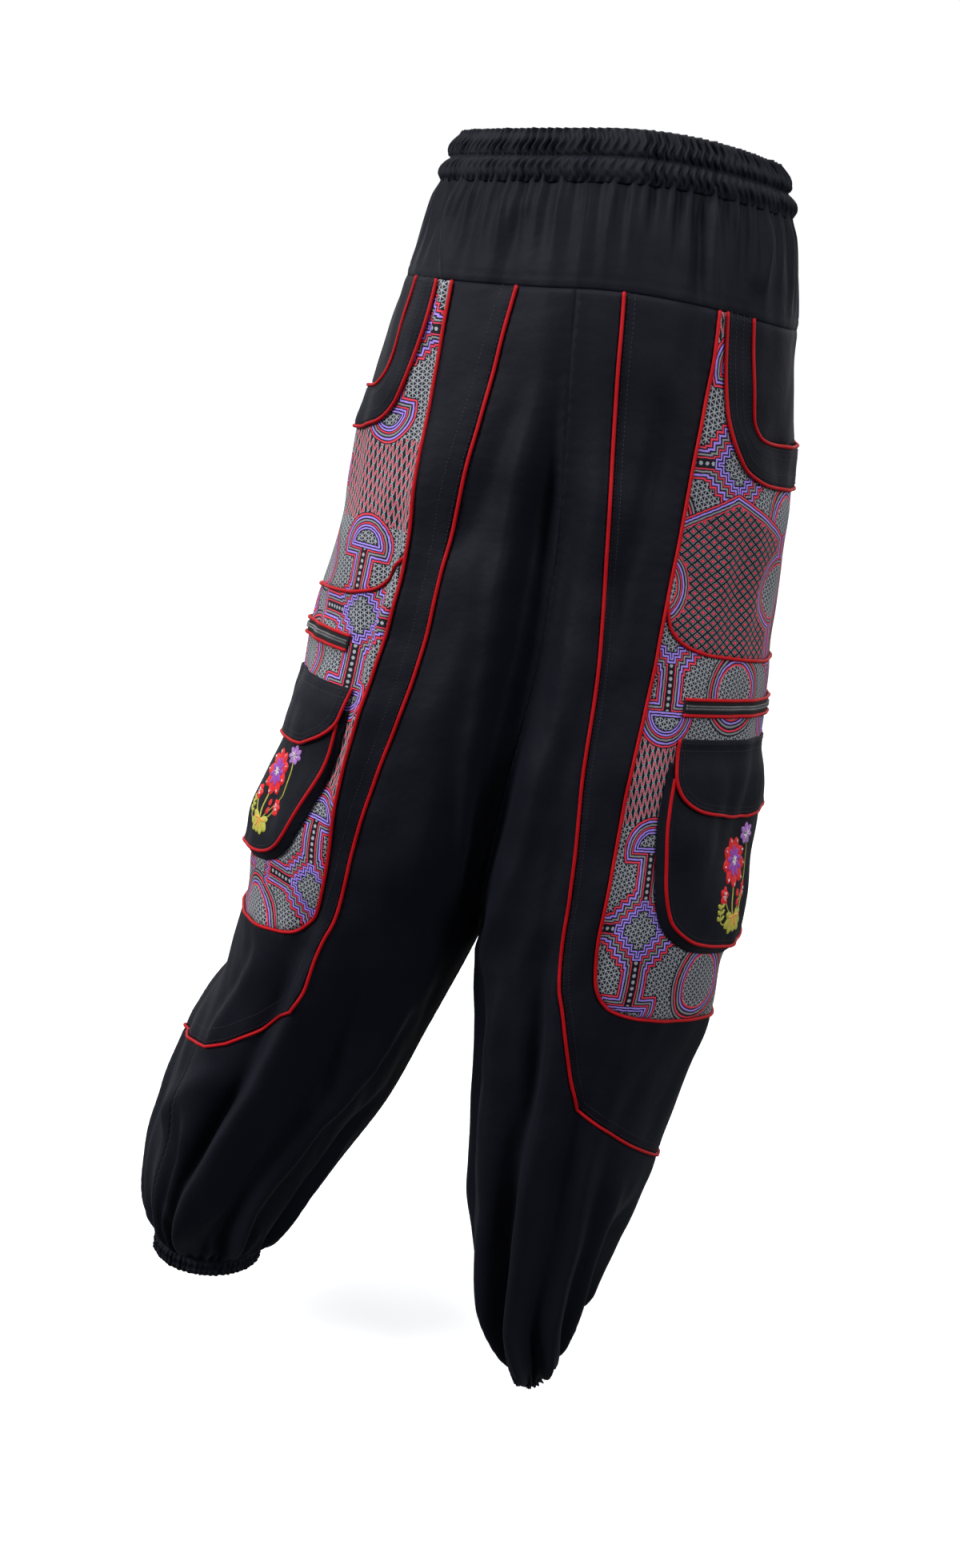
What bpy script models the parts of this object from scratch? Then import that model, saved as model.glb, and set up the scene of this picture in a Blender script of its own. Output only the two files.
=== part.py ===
"""Harem pants, worn: a gathered waistband, a yoke, and two wide legs drawn in at the cuffs.

Metres, +Z up. The origin is the middle of the waist ring. The back of the garment faces -Y,
the wearer's right is +X. Each leg is one sheet of cloth, laid out by two measures:
  across  distance from the line down the side, minus towards the back, plus towards the front
  drop    distance below the waistband, along the side
Every panel, pocket and piping cord is cut out of that sheet, so neighbours share one form.
"""
import math
from collections import namedtuple

import bmesh
import bpy
import numpy as np
from mathutils.geometry import delaunay_2d_cdt

LEFT, RIGHT = -1, 1
SIDE_NAME = {LEFT: "left", RIGHT: "right"}

# ---- driving sizes -------------------------------------------------------------------------
WALL = 0.0015             # thickness of a panel of cloth
HALF_GAP = 0.00016        # half of the seam gap between neighbouring pieces
LAY_GAP = 0.0004          # gap between a panel and what is sewn on it
YOKE_DROP = 0.085         # depth of the yoke below the waistband
FORK_DROP = 0.62          # drop at which the legs part
LEG_END = 0.95            # drop at which the leg is sewn to its cuff
GRID_ACROSS = 12          # columns of cloth points from the side line to the centre seam
GRID_DROP = 0.036         # spacing of the rows of cloth points
LINE_STEP = 0.030         # spacing of points along a seam
FRONT_JOIN = 15           # the front is built in two lengths, which meet on this row

PIPE_WIDTH = 0.0030       # the red piping cord, which stands on one edge
PIPE_END = 0.004          # a cord stops this far short of one that it meets

BAND_WAVES = 60           # gathers round the waistband
YOKE_WAVES = 36           # the softer gathers that go on down the yoke
YOKE_GATHER = 0.0022      # their height under the waistband
CUFF_WAVES = 28           # gathers round each cuff
LEG_WAVES = 12            # the folds that run up the leg out of a cuff
LEG_GATHER = 0.0045       # their height just above the cuff
LEG_GATHER_REACH = 0.13   # how far up the leg they reach

POCKET_STAND = 0.0075     # how far a cargo pocket's face stands off the leg
POCKET_RAMP = (0.425, 0.50)   # drops between which it comes away from the leg
POCKET_SHIFT = {LEFT: -0.011, RIGHT: 0.009}   # the pockets are sewn a little off the side line

# ---- the body's form: one row for each cross-section, down from the waist -------------------
# out_x, out_z    the side of the garment        in_x, in_z   its middle (or the inner leg)
# depth           half of the front-to-back size mid_y        its middle, front to back
# wrap            degrees of arc from side to middle: 90 on the body, 180 on a closed leg
# turn            degrees by which the side line is turned, minus towards the back
# pitch           slope of the section, plus where the front is higher
# girth           cloth from the side line to the middle
Section = namedtuple("Section", "drop out_x out_z in_x in_z depth mid_y wrap turn pitch girth")

SECTIONS = {
    RIGHT: [
        Section(0.000, 0.130, -0.010, 0.000, -0.002, 0.098, 0.000, 90, 0, 0.00, 0.182),
        Section(0.085, 0.142, -0.095, -0.002, -0.080, 0.116, 0.000, 90, -4, 0.00, 0.208),
        Section(0.200, 0.144, -0.208, -0.006, -0.200, 0.127, 0.002, 92, -6, -0.05, 0.226),
        Section(0.340, 0.139, -0.346, -0.018, -0.335, 0.128, 0.002, 102, -10, -0.11, 0.255),
        Section(0.460, 0.138, -0.459, -0.046, -0.452, 0.127, 0.000, 122, -14, -0.12, 0.290),
        Section(0.560, 0.127, -0.557, -0.074, -0.550, 0.123, 0.000, 152, -13, -0.12, 0.325),
        Section(0.620, 0.112, -0.623, -0.089, -0.603, 0.119, 0.000, 180, -5, -0.12, 0.345),
        Section(0.700, 0.093, -0.701, -0.089, -0.686, 0.112, 0.000, 180, -5, -0.10, 0.335),
        Section(0.770, 0.076, -0.772, -0.089, -0.759, 0.106, 0.000, 180, -6, -0.05, 0.320),
        Section(0.830, 0.062, -0.834, -0.088, -0.823, 0.100, 0.000, 180, -4, 0.05, 0.305),
        Section(0.885, 0.046, -0.888, -0.081, -0.883, 0.088, 0.000, 180, 0, 0.20, 0.290),
        Section(0.925, 0.032, -0.927, -0.067, -0.923, 0.068, 0.000, 180, 4, 0.55, 0.280),
        Section(0.950, 0.018, -0.948, -0.057, -0.946, 0.042, 0.000, 180, 6, 0.90, 0.275),
    ],
    LEFT: [
        Section(0.000, -0.131, 0.005, 0.000, -0.002, 0.098, 0.000, 90, 0, 0.00, 0.182),
        Section(0.085, -0.160, -0.068, -0.002, -0.080, 0.116, 0.000, 90, -2, 0.00, 0.208),
        Section(0.200, -0.195, -0.175, -0.006, -0.200, 0.127, 0.002, 92, -3, -0.05, 0.226),
        Section(0.340, -0.225, -0.310, -0.018, -0.335, 0.128, 0.002, 102, -8, -0.11, 0.255),
        Section(0.460, -0.256, -0.415, -0.046, -0.452, 0.127, 0.000, 122, -11, -0.12, 0.290),
        Section(0.560, -0.279, -0.503, -0.074, -0.550, 0.123, 0.000, 152, -12, -0.12, 0.325),
        Section(0.620, -0.289, -0.558, -0.089, -0.603, 0.119, 0.000, 180, -8, -0.12, 0.345),
        Section(0.700, -0.313, -0.638, -0.131, -0.690, 0.112, 0.000, 180, -30, -0.14, 0.335),
        Section(0.770, -0.350, -0.711, -0.168, -0.766, 0.106, 0.000, 180, -48, -0.16, 0.320),
        Section(0.830, -0.379, -0.784, -0.209, -0.834, 0.098, 0.000, 180, -54, -0.12, 0.305),
        Section(0.885, -0.395, -0.852, -0.244, -0.890, 0.084, 0.000, 180, -56, -0.06, 0.290),
        Section(0.925, -0.393, -0.905, -0.271, -0.929, 0.062, 0.000, 180, -58, -0.02, 0.280),
        Section(0.950, -0.388, -0.936, -0.296, -0.945, 0.042, 0.000, 180, -60, 0.00, 0.275),
    ],
}

# ---- the largest folds: a ridge (or, with a minus height, a trough) from one point of the
# cloth to another -----------------------------------------------------------------------------
Fold = namedtuple("Fold", "side from_across from_drop to_across to_drop width height")

FOLDS = [
    Fold(LEFT, -0.140, 0.08, -0.152, 0.56, 0.022, 0.010),
    Fold(LEFT, -0.185, 0.14, -0.215, 0.46, 0.024, -0.007),
    Fold(LEFT, -0.235, 0.40, -0.205, 0.70, 0.024, -0.010),
    Fold(LEFT, -0.210, 0.62, -0.165, 0.94, 0.024, 0.012),
    Fold(LEFT, -0.090, 0.68, -0.120, 0.94, 0.022, 0.010),
    Fold(LEFT, -0.020, 0.76, -0.050, 0.95, 0.020, 0.008),
    Fold(LEFT, -0.280, 0.68, -0.235, 0.93, 0.022, -0.010),
    Fold(LEFT, 0.100, 0.70, 0.120, 0.94, 0.022, 0.009),
    Fold(LEFT, 0.210, 0.60, 0.190, 0.93, 0.024, -0.010),
    Fold(LEFT, 0.155, 0.12, 0.200, 0.46, 0.022, 0.008),
    Fold(RIGHT, -0.190, 0.10, -0.205, 0.42, 0.020, 0.007),
    Fold(RIGHT, -0.225, 0.28, -0.255, 0.60, 0.024, -0.009),
    Fold(RIGHT, -0.245, 0.58, -0.235, 0.92, 0.022, 0.009),
    Fold(RIGHT, -0.190, 0.62, -0.185, 0.94, 0.020, -0.010),
    Fold(RIGHT, -0.125, 0.70, -0.140, 0.95, 0.020, 0.009),
    Fold(RIGHT, -0.050, 0.76, -0.080, 0.95, 0.020, -0.008),
    Fold(RIGHT, 0.070, 0.74, 0.090, 0.95, 0.020, 0.008),
    Fold(RIGHT, 0.200, 0.60, 0.205, 0.93, 0.024, -0.010),
    Fold(RIGHT, 0.165, 0.12, 0.205, 0.46, 0.022, 0.008),
]

# ---- the cut of one leg: half outlines, back edge, from the yoke down to the side line -------
Cut = namedtuple("Cut", "across drop")

SIDE_PANEL = [Cut(0.171, YOKE_DROP), Cut(0.176, 0.145), Cut(0.182, 0.300), Cut(0.185, 0.460),
              Cut(0.180, 0.575), Cut(0.170, 0.635), Cut(0.151, 0.685), Cut(0.131, 0.714),
              Cut(0.085, 0.744), Cut(0.0, 0.774)]
PRINT_PANEL = [Cut(0.109, YOKE_DROP), Cut(0.118, 0.12), Cut(0.129, 0.20), Cut(0.138, 0.30),
               Cut(0.147, 0.41), Cut(0.154, 0.50), Cut(0.155, 0.57), Cut(0.147, 0.612),
               Cut(0.128, 0.632), Cut(0.090, 0.640), Cut(0.0, 0.648)]
UPPER_START = 0.295                     # drop at which the upper print leaves the border
UPPER_PRINT = [Cut(0.130, 0.315), Cut(0.112, 0.330), Cut(0.085, 0.336), Cut(0.0, 0.340)]
HIP_OUTER = [Cut(0.100, YOKE_DROP), Cut(0.101, 0.115), Cut(0.097, 0.148), Cut(0.088, 0.172),
             Cut(0.070, 0.193), Cut(0.040, 0.203), Cut(0.0, 0.206)]
HIP_INNER = [Cut(0.071, YOKE_DROP), Cut(0.070, 0.120), Cut(0.064, 0.150), Cut(0.050, 0.168),
             Cut(0.0, 0.173)]
FLAP = [Cut(0.115, 0.412), Cut(0.114, 0.438), Cut(0.104, 0.458), Cut(0.082, 0.470),
        Cut(0.0, 0.478)]
CARGO = [Cut(0.112, 0.432), Cut(0.116, 0.480), Cut(0.111, 0.520), Cut(0.096, 0.560),
         Cut(0.066, 0.578), Cut(0.0, 0.587)]
FLAP_COVER = 0.050                      # length of the cargo pocket's edge under its flap
ZIP_REACH = 0.108                       # half the zip's length
ZIP_TOP, ZIP_BOTTOM = 0.371, 0.384      # drops of its two lips

# ---- bands: one row for each level of the wall, from the seam to the free edge ---------------
# rise: distance from the seam; out: how far the face stands out; gather: height of the gathers
Level = namedtuple("Level", "rise out gather")

WAIST_LEVELS = [Level(0.0004, 0.0016, 0.0005), Level(0.0050, 0.0044, 0.0010),
                Level(0.0100, 0.0022, 0.0006), Level(0.0165, 0.0048, 0.0012),
                Level(0.0235, 0.0024, 0.0008), Level(0.0325, 0.0026, 0.0016)]
CUFF_LEVELS = [Level(0.0004, 0.0016, 0.0005), Level(0.0060, 0.0036, 0.0012),
               Level(0.0120, 0.0030, 0.0012), Level(0.0180, 0.0014, 0.0012)]
BAND_INSIDE = -0.0016                   # inner face of a band

# ---- materials: colour, roughness ------------------------------------------------------------
BLACK_CLOTH = ("black_cotton", (0.012, 0.014, 0.021), 0.85)
PRINT_CLOTH = ("printed_cotton", (0.11, 0.06, 0.10), 0.80)
RED_CORD = ("red_piping", (0.42, 0.012, 0.022), 0.60)
ZIP_TAPE = ("zip_tape", (0.015, 0.015, 0.017), 0.50)

Sheet = namedtuple("Sheet", "side across drop points normals triangles tags")


def clear_scene():
    for old in list(bpy.data.objects):
        bpy.data.objects.remove(old, do_unlink=True)


def material(finish):
    name, colour, roughness = finish
    made = bpy.data.materials.get(name) or bpy.data.materials.new(name)
    made.use_nodes = True
    shader = made.node_tree.nodes["Principled BSDF"]
    shader.inputs["Base Color"].default_value = (*colour, 1.0)
    shader.inputs["Roughness"].default_value = roughness
    return made


def smooth_curve(knots, values, at):
    """A smooth curve through the values that never swings past them."""
    step = np.diff(knots)
    slope = np.diff(values) / step
    bend = np.zeros(len(values))
    product = slope[:-1] * slope[1:]
    together = np.where(product > 0, slope[:-1] + slope[1:], 1.0)
    bend[1:-1] = np.where(product > 0, 2 * product / together, 0.0)
    bend[0], bend[-1] = slope[0], slope[-1]
    place = np.clip(np.searchsorted(knots, at, side="right") - 1, 0, len(step) - 1)
    u = (at - knots[place]) / step[place]
    return (values[place] * (1 + 2 * u) * (1 - u) ** 2 + values[place + 1] * u * u * (3 - 2 * u)
            + step[place] * (bend[place] * u * (1 - u) ** 2 + bend[place + 1] * u * u * (u - 1)))


def section(side, drop):
    """The cross-section at a drop, every column of the table smoothed between its rows.

    The middle is smoothed apart above and below the fork, so both legs share it above."""
    table = np.array(SECTIONS[side])
    row = Section(drop, *(smooth_curve(table[:, 0], table[:, k], drop)
                          for k in range(1, table.shape[1])))
    above, below = table[table[:, 0] <= FORK_DROP], table[table[:, 0] >= FORK_DROP]
    middle = {}
    for name in ("in_x", "in_z"):
        k = Section._fields.index(name)
        middle[name] = np.where(drop < FORK_DROP, smooth_curve(above[:, 0], above[:, k], drop),
                                smooth_curve(below[:, 0], below[:, k], drop))
    return row._replace(**middle)


def gathers(side, across, drop, girth):
    """Soft folds under the waistband, and those that run up the leg out of the cuff."""
    share = across / girth
    under_band = np.clip(1 - drop / YOKE_DROP, 0, 1) ** 1.3 * YOKE_GATHER
    height = under_band * np.cos(math.pi * (share + 1) * YOKE_WAVES / 2)
    up = np.clip((LEG_END - drop) / LEG_GATHER_REACH, 0, 1)
    near_cuff = (1 - up) ** 1.5 * LEG_GATHER * np.clip(0.35 + up * 5, 0, 1)
    return height + near_cuff * np.cos(math.pi * (share + 1) * LEG_WAVES + 0.6 * side)


def fold_height(side, across, drop):
    total = np.zeros(np.broadcast(across, drop).shape)
    for fold in FOLDS:
        if fold.side != side:
            continue
        run = np.array([fold.to_across - fold.from_across, fold.to_drop - fold.from_drop])
        length = math.hypot(*run)
        run /= length
        da, dd = across - fold.from_across, drop - fold.from_drop
        along = np.clip((da * run[0] + dd * run[1]) / length, 0, 1)
        aside = np.hypot(da - along * length * run[0], dd - along * length * run[1])
        total += fold.height * np.sin(math.pi * along) * np.exp(-(aside / fold.width) ** 2)
    return total


def cloth(side, across, drop):
    """The outer face of the leg's cloth at a place given by across and drop."""
    across, drop = np.broadcast_arrays(np.asarray(across, float), np.asarray(drop, float))
    row = section(side, drop)
    share = across / row.girth
    wrap = np.radians(row.wrap)
    angle = wrap * share + np.radians(row.turn) * (1 - share ** 2)
    apart = -np.cos(wrap).clip(-1, 0) * HALF_GAP
    in_x = row.in_x + side * apart
    half_width = np.abs(row.out_x - in_x) / (1 - np.cos(wrap))
    middle_x = row.out_x - side * half_width
    facing = np.stack([side * np.cos(angle) / half_width, np.sin(angle) / row.depth])
    facing /= np.linalg.norm(facing, axis=0)
    seam_hold = 1 - np.clip(8 * -np.cos(wrap), 0, 1) * share ** 8   # folds die out at the seam
    swell = (fold_height(side, across, drop) + gathers(side, across, drop, row.girth)) * seam_hold
    x = middle_x + side * half_width * np.cos(angle) + facing[0] * swell
    y = row.mid_y + row.depth * np.sin(angle) + facing[1] * swell
    z = (row.in_z + (row.out_z - row.in_z) * (x - in_x) / (row.out_x - in_x)
         + row.pitch * (y - row.mid_y))
    return np.stack([x, y, z], axis=-1)


def cloth_normal(side, across, drop):
    girth = section(side, np.asarray(drop, float)).girth
    reach = 0.002
    low_a, high_a = np.maximum(across - reach, -girth), np.minimum(across + reach, girth)
    low_d, high_d = np.maximum(drop - reach, 0), np.minimum(drop + reach, LEG_END)
    along_a = cloth(side, high_a, drop) - cloth(side, low_a, drop)
    along_d = cloth(side, across, high_d) - cloth(side, across, low_d)
    normal = np.cross(along_a, along_d) * -side
    return normal / np.linalg.norm(normal, axis=-1, keepdims=True)


def rounded(outline):
    """A half outline's corners eased, as a pattern cutter draws them with a curve."""
    points = np.array(outline)
    length = np.concatenate([[0], np.cumsum(np.linalg.norm(np.diff(points, axis=0), axis=1))])
    at = np.linspace(0, length[-1], max(2, round(length[-1] / LINE_STEP)) + 1)
    return np.stack([smooth_curve(length, points[:, k], at) for k in (0, 1)], axis=1)


def stepped(outline):
    """The outline with points added along its straight runs."""
    points = [np.array(outline[0])]
    for start, end in zip(outline[:-1], outline[1:]):
        start, end = np.array(start), np.array(end)
        count = max(1, round(np.linalg.norm(end - start) / LINE_STEP))
        points += [start + (end - start) * k / count for k in range(1, count + 1)]
    return np.array(points)


def whole(half):
    """A half outline, mirrored: from the back at the top, round, to the front at the top."""
    back = half * (-1, 1)
    return np.concatenate([back, half[-2::-1]])


def with_top(outline):
    """The outline, closed along its straight top edge."""
    return np.concatenate([outline, stepped([outline[-1], outline[0]])[1:-1]])


def on_border(drop):
    """The point of the print panel's drawn border at a drop."""
    border = rounded(PRINT_PANEL)
    return Cut(float(np.interp(drop, border[:, 1], border[:, 0])), drop)


def pocket_edge(half, side):
    return whole(rounded(half)) + (POCKET_SHIFT[side], 0)


OUTLINES = {side: {
    "side": whole(stepped(SIDE_PANEL)),
    "print": whole(rounded(PRINT_PANEL)),
    "upper": whole(rounded([on_border(UPPER_START)] + UPPER_PRINT)),
    "hip_outer": whole(rounded(HIP_OUTER)),
    "hip_inner": whole(rounded(HIP_INNER)),
    "flap": with_top(pocket_edge(FLAP, side)),
    "cargo": with_top(pocket_edge(CARGO, side)),
} for side in (LEFT, RIGHT)}


def turns_left(rim):
    ahead = np.roll(rim, -1, axis=0)
    return (rim[:, 0] * ahead[:, 1] - rim[:, 1] * ahead[:, 0]).sum() > 0


def row_drops():
    return np.linspace(YOKE_DROP, LEG_END, round((LEG_END - YOKE_DROP) / GRID_DROP) + 1)


def leg_sheet(side):
    """One leg's cloth, cut into triangles along every seam, each tagged with its outlines."""
    drops = row_drops()
    girths = section(side, drops).girth
    edge_back = np.stack([-girths, drops], axis=1)
    edge_front = np.stack([girths, drops], axis=1)
    top = [(a, YOKE_DROP) for a in np.linspace(-girths[0], girths[0], 2 * GRID_ACROSS + 1)]
    foot = [(a, LEG_END) for a in np.linspace(-girths[-1], girths[-1], 4 * LEG_WAVES + 1)]
    rims = {"sheet": np.array(top[:-1] + list(edge_front[:-1]) + foot[:0:-1]
                              + list(edge_back[:0:-1]))}
    rims.update(OUTLINES[side])
    zip_at = np.linspace(-ZIP_REACH, ZIP_REACH, round(2 * ZIP_REACH / LINE_STEP) + 1)
    rims["zip"] = np.array([(a, ZIP_TOP) for a in zip_at] + [(a, ZIP_BOTTOM) for a in zip_at[::-1]])
    border, upper = rims["print"], rims["upper"]
    above = border[border[:, 1] < upper[0, 1]]
    half = len(above) // 2
    rims["upper"] = np.concatenate([above[:half], upper, above[half:]])
    panel_edge = stepped(SIDE_PANEL)
    join_drop, join_end = drops[FRONT_JOIN], girths[FRONT_JOIN]
    join_start = np.interp(join_drop, panel_edge[:, 1], panel_edge[:, 0])
    join = stepped([(join_start, join_drop), (join_end, join_drop)])

    seams = np.concatenate([stepped(list(rim) + [rim[0]]) for rim in rims.values()] + [join])
    grid = []
    for row, drop in enumerate(drops[1:-1]):
        columns = GRID_ACROSS * (2 if LEG_END - drop < LEG_GATHER_REACH else 1)
        for share in np.linspace(-1, 1, 2 * columns + 1)[1:-1]:
            place = np.array([share * girths[row + 1], drop])
            near = np.abs(seams - place).max(axis=1).min()
            if near > 0.4 * min(GRID_DROP, girths[row + 1] / columns):
                grid.append(place)
    points, faces = [], []
    for rim in rims.values():
        numbers = list(range(len(points), len(points) + len(rim)))
        faces.append(numbers if turns_left(rim) else numbers[::-1])
        points += list(rim)
    joined = range(len(points), len(points) + len(join) - 1)
    points += list(join) + grid
    places, _, triangles, _, _, inside = delaunay_2d_cdt(
        [tuple(p) for p in points], [(p, p + 1) for p in joined], faces, 1, 1e-6, True)
    names = list(rims)
    kept = [k for k, found in enumerate(inside) if names.index("sheet") in found]
    tags = [frozenset(names[number] for number in inside[k]) for k in kept]
    places = np.array([tuple(p) for p in places])
    across, drop = places[:, 0], places[:, 1]
    triangles = np.array([tuple(triangles[k]) for k in kept])
    if side == RIGHT:
        triangles = triangles[:, ::-1]
    return Sheet(side, across, drop, cloth(side, across, drop),
                 cloth_normal(side, across, drop), triangles, tags)


def make_object(name, vertices, faces, finish):
    mesh = bpy.data.meshes.new(name)
    mesh.from_pydata([tuple(v) for v in vertices], [], [tuple(f) for f in faces])
    mesh.materials.append(material(finish))
    mesh.validate()
    made = bpy.data.objects.new(name, mesh)
    bpy.context.collection.objects.link(made)
    return made


def rim_edges(triangles):
    """The edges of a cut piece, each with the cloth on its left as seen from outside."""
    directed = {(t[k], t[(k + 1) % 3]) for t in triangles.tolist() for k in range(3)}
    return [edge for edge in directed if edge[::-1] not in directed]


def inward_moves(sheet, edges):
    """For each rim point, the step in the cloth's plane that takes it one unit inwards."""
    steps = {}
    for a, b in edges:
        along = sheet.points[b] - sheet.points[a]
        for point in (a, b):
            inward = np.cross(sheet.normals[point], along)
            steps.setdefault(point, []).append(inward / np.linalg.norm(inward))
    moves = {}
    for point, found in steps.items():
        mean = sum(found) / len(found)
        moves[point] = mean / max(0.35, mean @ mean)
    return moves


def cut_piece(name, sheet, wanted, low, high, finish):
    """A wall of cloth over the wanted triangles, between two heights above the sheet."""
    picked = sheet.triangles[[wanted(tags, sheet, t) for tags, t in
                              zip(sheet.tags, sheet.triangles)]]
    used = np.unique(picked)
    number = {old: new for new, old in enumerate(used.tolist())}
    edges = rim_edges(picked)
    base = sheet.points[used].copy()
    for point, move in inward_moves(sheet, edges).items():
        base[number[point]] += move * HALF_GAP
    lift = [height(sheet.across[used], sheet.drop[used])[:, None] for height in (low, high)]
    vertices = np.concatenate([base + sheet.normals[used] * lift[1],
                               base + sheet.normals[used] * lift[0]])
    count = len(used)
    faces = [[number[p] for p in t] for t in picked.tolist()]
    faces += [[number[p] + count for p in t[::-1]] for t in picked.tolist()]
    for a, b in edges:
        a, b = number[a], number[b]
        faces.append([b, a, a + count, b + count])
    return make_object(name, vertices, faces, finish)


def level(height):
    return lambda across, drop: np.full(len(across), height)


def pouch(name, sheet, wanted, finish):
    """A pocket's face with its sides, open towards the leg that it is sewn on."""
    picked = sheet.triangles[[wanted(tags, sheet, t) for tags, t in
                              zip(sheet.tags, sheet.triangles)]]
    used = np.unique(picked)
    number = {old: new for new, old in enumerate(used.tolist())}
    edges = rim_edges(picked)
    moves = np.zeros((len(used), 3))
    for point, move in inward_moves(sheet, edges).items():
        moves[number[point]] = move
    normals = sheet.normals[used]
    face_lift = pocket_face(sheet.across[used], sheet.drop[used])[:, None]
    layers = [sheet.points[used] + moves * HALF_GAP + normals * face_lift,
              sheet.points[used] + moves * WALL + normals * (face_lift - WALL)]
    count = len(used)
    rim = {}
    feet = []
    for point in moves.any(axis=1).nonzero()[0].tolist():
        rim[point] = 2 * count + len(feet)
        feet.append(sheet.points[used[point]] + moves[point] * HALF_GAP + normals[point] * LAY_GAP)
        feet.append(sheet.points[used[point]] + moves[point] * WALL + normals[point] * LAY_GAP)
    faces = [[number[p] for p in t] for t in picked.tolist()]
    faces += [[number[p] + count for p in t[::-1]] for t in picked.tolist()]
    for a, b in edges:
        a, b = number[a], number[b]
        faces.append([b, a, rim[a], rim[b]])
        faces.append([rim[b], rim[a], rim[a] + 1, rim[b] + 1])
        faces.append([rim[b] + 1, rim[a] + 1, a + count, b + count])
    return make_object(name, np.concatenate(layers + [np.array(feet)]), faces, finish)


def pocket_face(across, drop):
    """Height of a cargo pocket's face above the leg: close at the top, then standing off."""
    start, end = POCKET_RAMP
    u = np.clip((drop - start) / (end - start), 0, 1)
    return LAY_GAP + WALL + 0.0005 + (POCKET_STAND - WALL) * u * u * (3 - 2 * u)


def line_points(sheet, outline, trim_start, trim_end):
    """The sheet's own points along an outline, in order, less a stretch at either end."""
    found = {}
    travelled = 0.0
    places = np.stack([sheet.across, sheet.drop], axis=1)
    for start, end in zip(outline[:-1], outline[1:]):
        run = np.asarray(end) - np.asarray(start)
        length = np.linalg.norm(run)
        run = run / length
        rel = places - start
        along = rel @ run
        aside = np.abs(rel[:, 0] * run[1] - rel[:, 1] * run[0])
        on_line = (aside < 1e-6) & (along > -1e-6) & (along < length + 1e-6)
        for point in on_line.nonzero()[0].tolist():
            found[point] = travelled + along[point]
        travelled += length
    order = sorted(found, key=found.get)
    return [p for p in order if trim_start <= found[p] <= travelled - trim_end]


def piping(name, sheet, outline, lift, trim_start=PIPE_END, trim_end=PIPE_END):
    """A cord laid on a seam: a row of four-cornered rings over the seam's own points."""
    order = line_points(sheet, outline, trim_start, trim_end)
    points, normals = sheet.points[order], sheet.normals[order]
    heights = lift(sheet.across[order], sheet.drop[order])
    ahead = np.empty_like(points)
    ahead[1:-1] = points[2:] - points[:-2]
    ahead[0], ahead[-1] = points[1] - points[0], points[-1] - points[-2]
    aside = np.cross(normals, ahead)
    aside /= np.linalg.norm(aside, axis=1, keepdims=True)
    rings = []
    for turn in range(4):
        angle = math.pi / 2 * turn
        rise = heights + PIPE_WIDTH / 2 * (1 - math.cos(angle))
        rings.append(points + aside * PIPE_WIDTH / 2 * math.sin(angle) + normals * rise[:, None])
    count = len(order)
    faces = [[0, count, 2 * count, 3 * count][::-1],
             [count - 1, 2 * count - 1, 3 * count - 1, 4 * count - 1]]
    for k in range(4):
        low, high = k * count, (k + 1) % 4 * count
        faces += [[low + i, high + i, high + i + 1, low + i + 1] for i in range(count - 1)]
    made = make_object(name, np.concatenate(rings), faces, RED_CORD)
    face_out(made)
    return made


def face_out(made):
    work = bmesh.new()
    work.from_mesh(made.data)
    bmesh.ops.recalc_face_normals(work, faces=work.faces)
    work.to_mesh(made.data)
    work.free()


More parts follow.
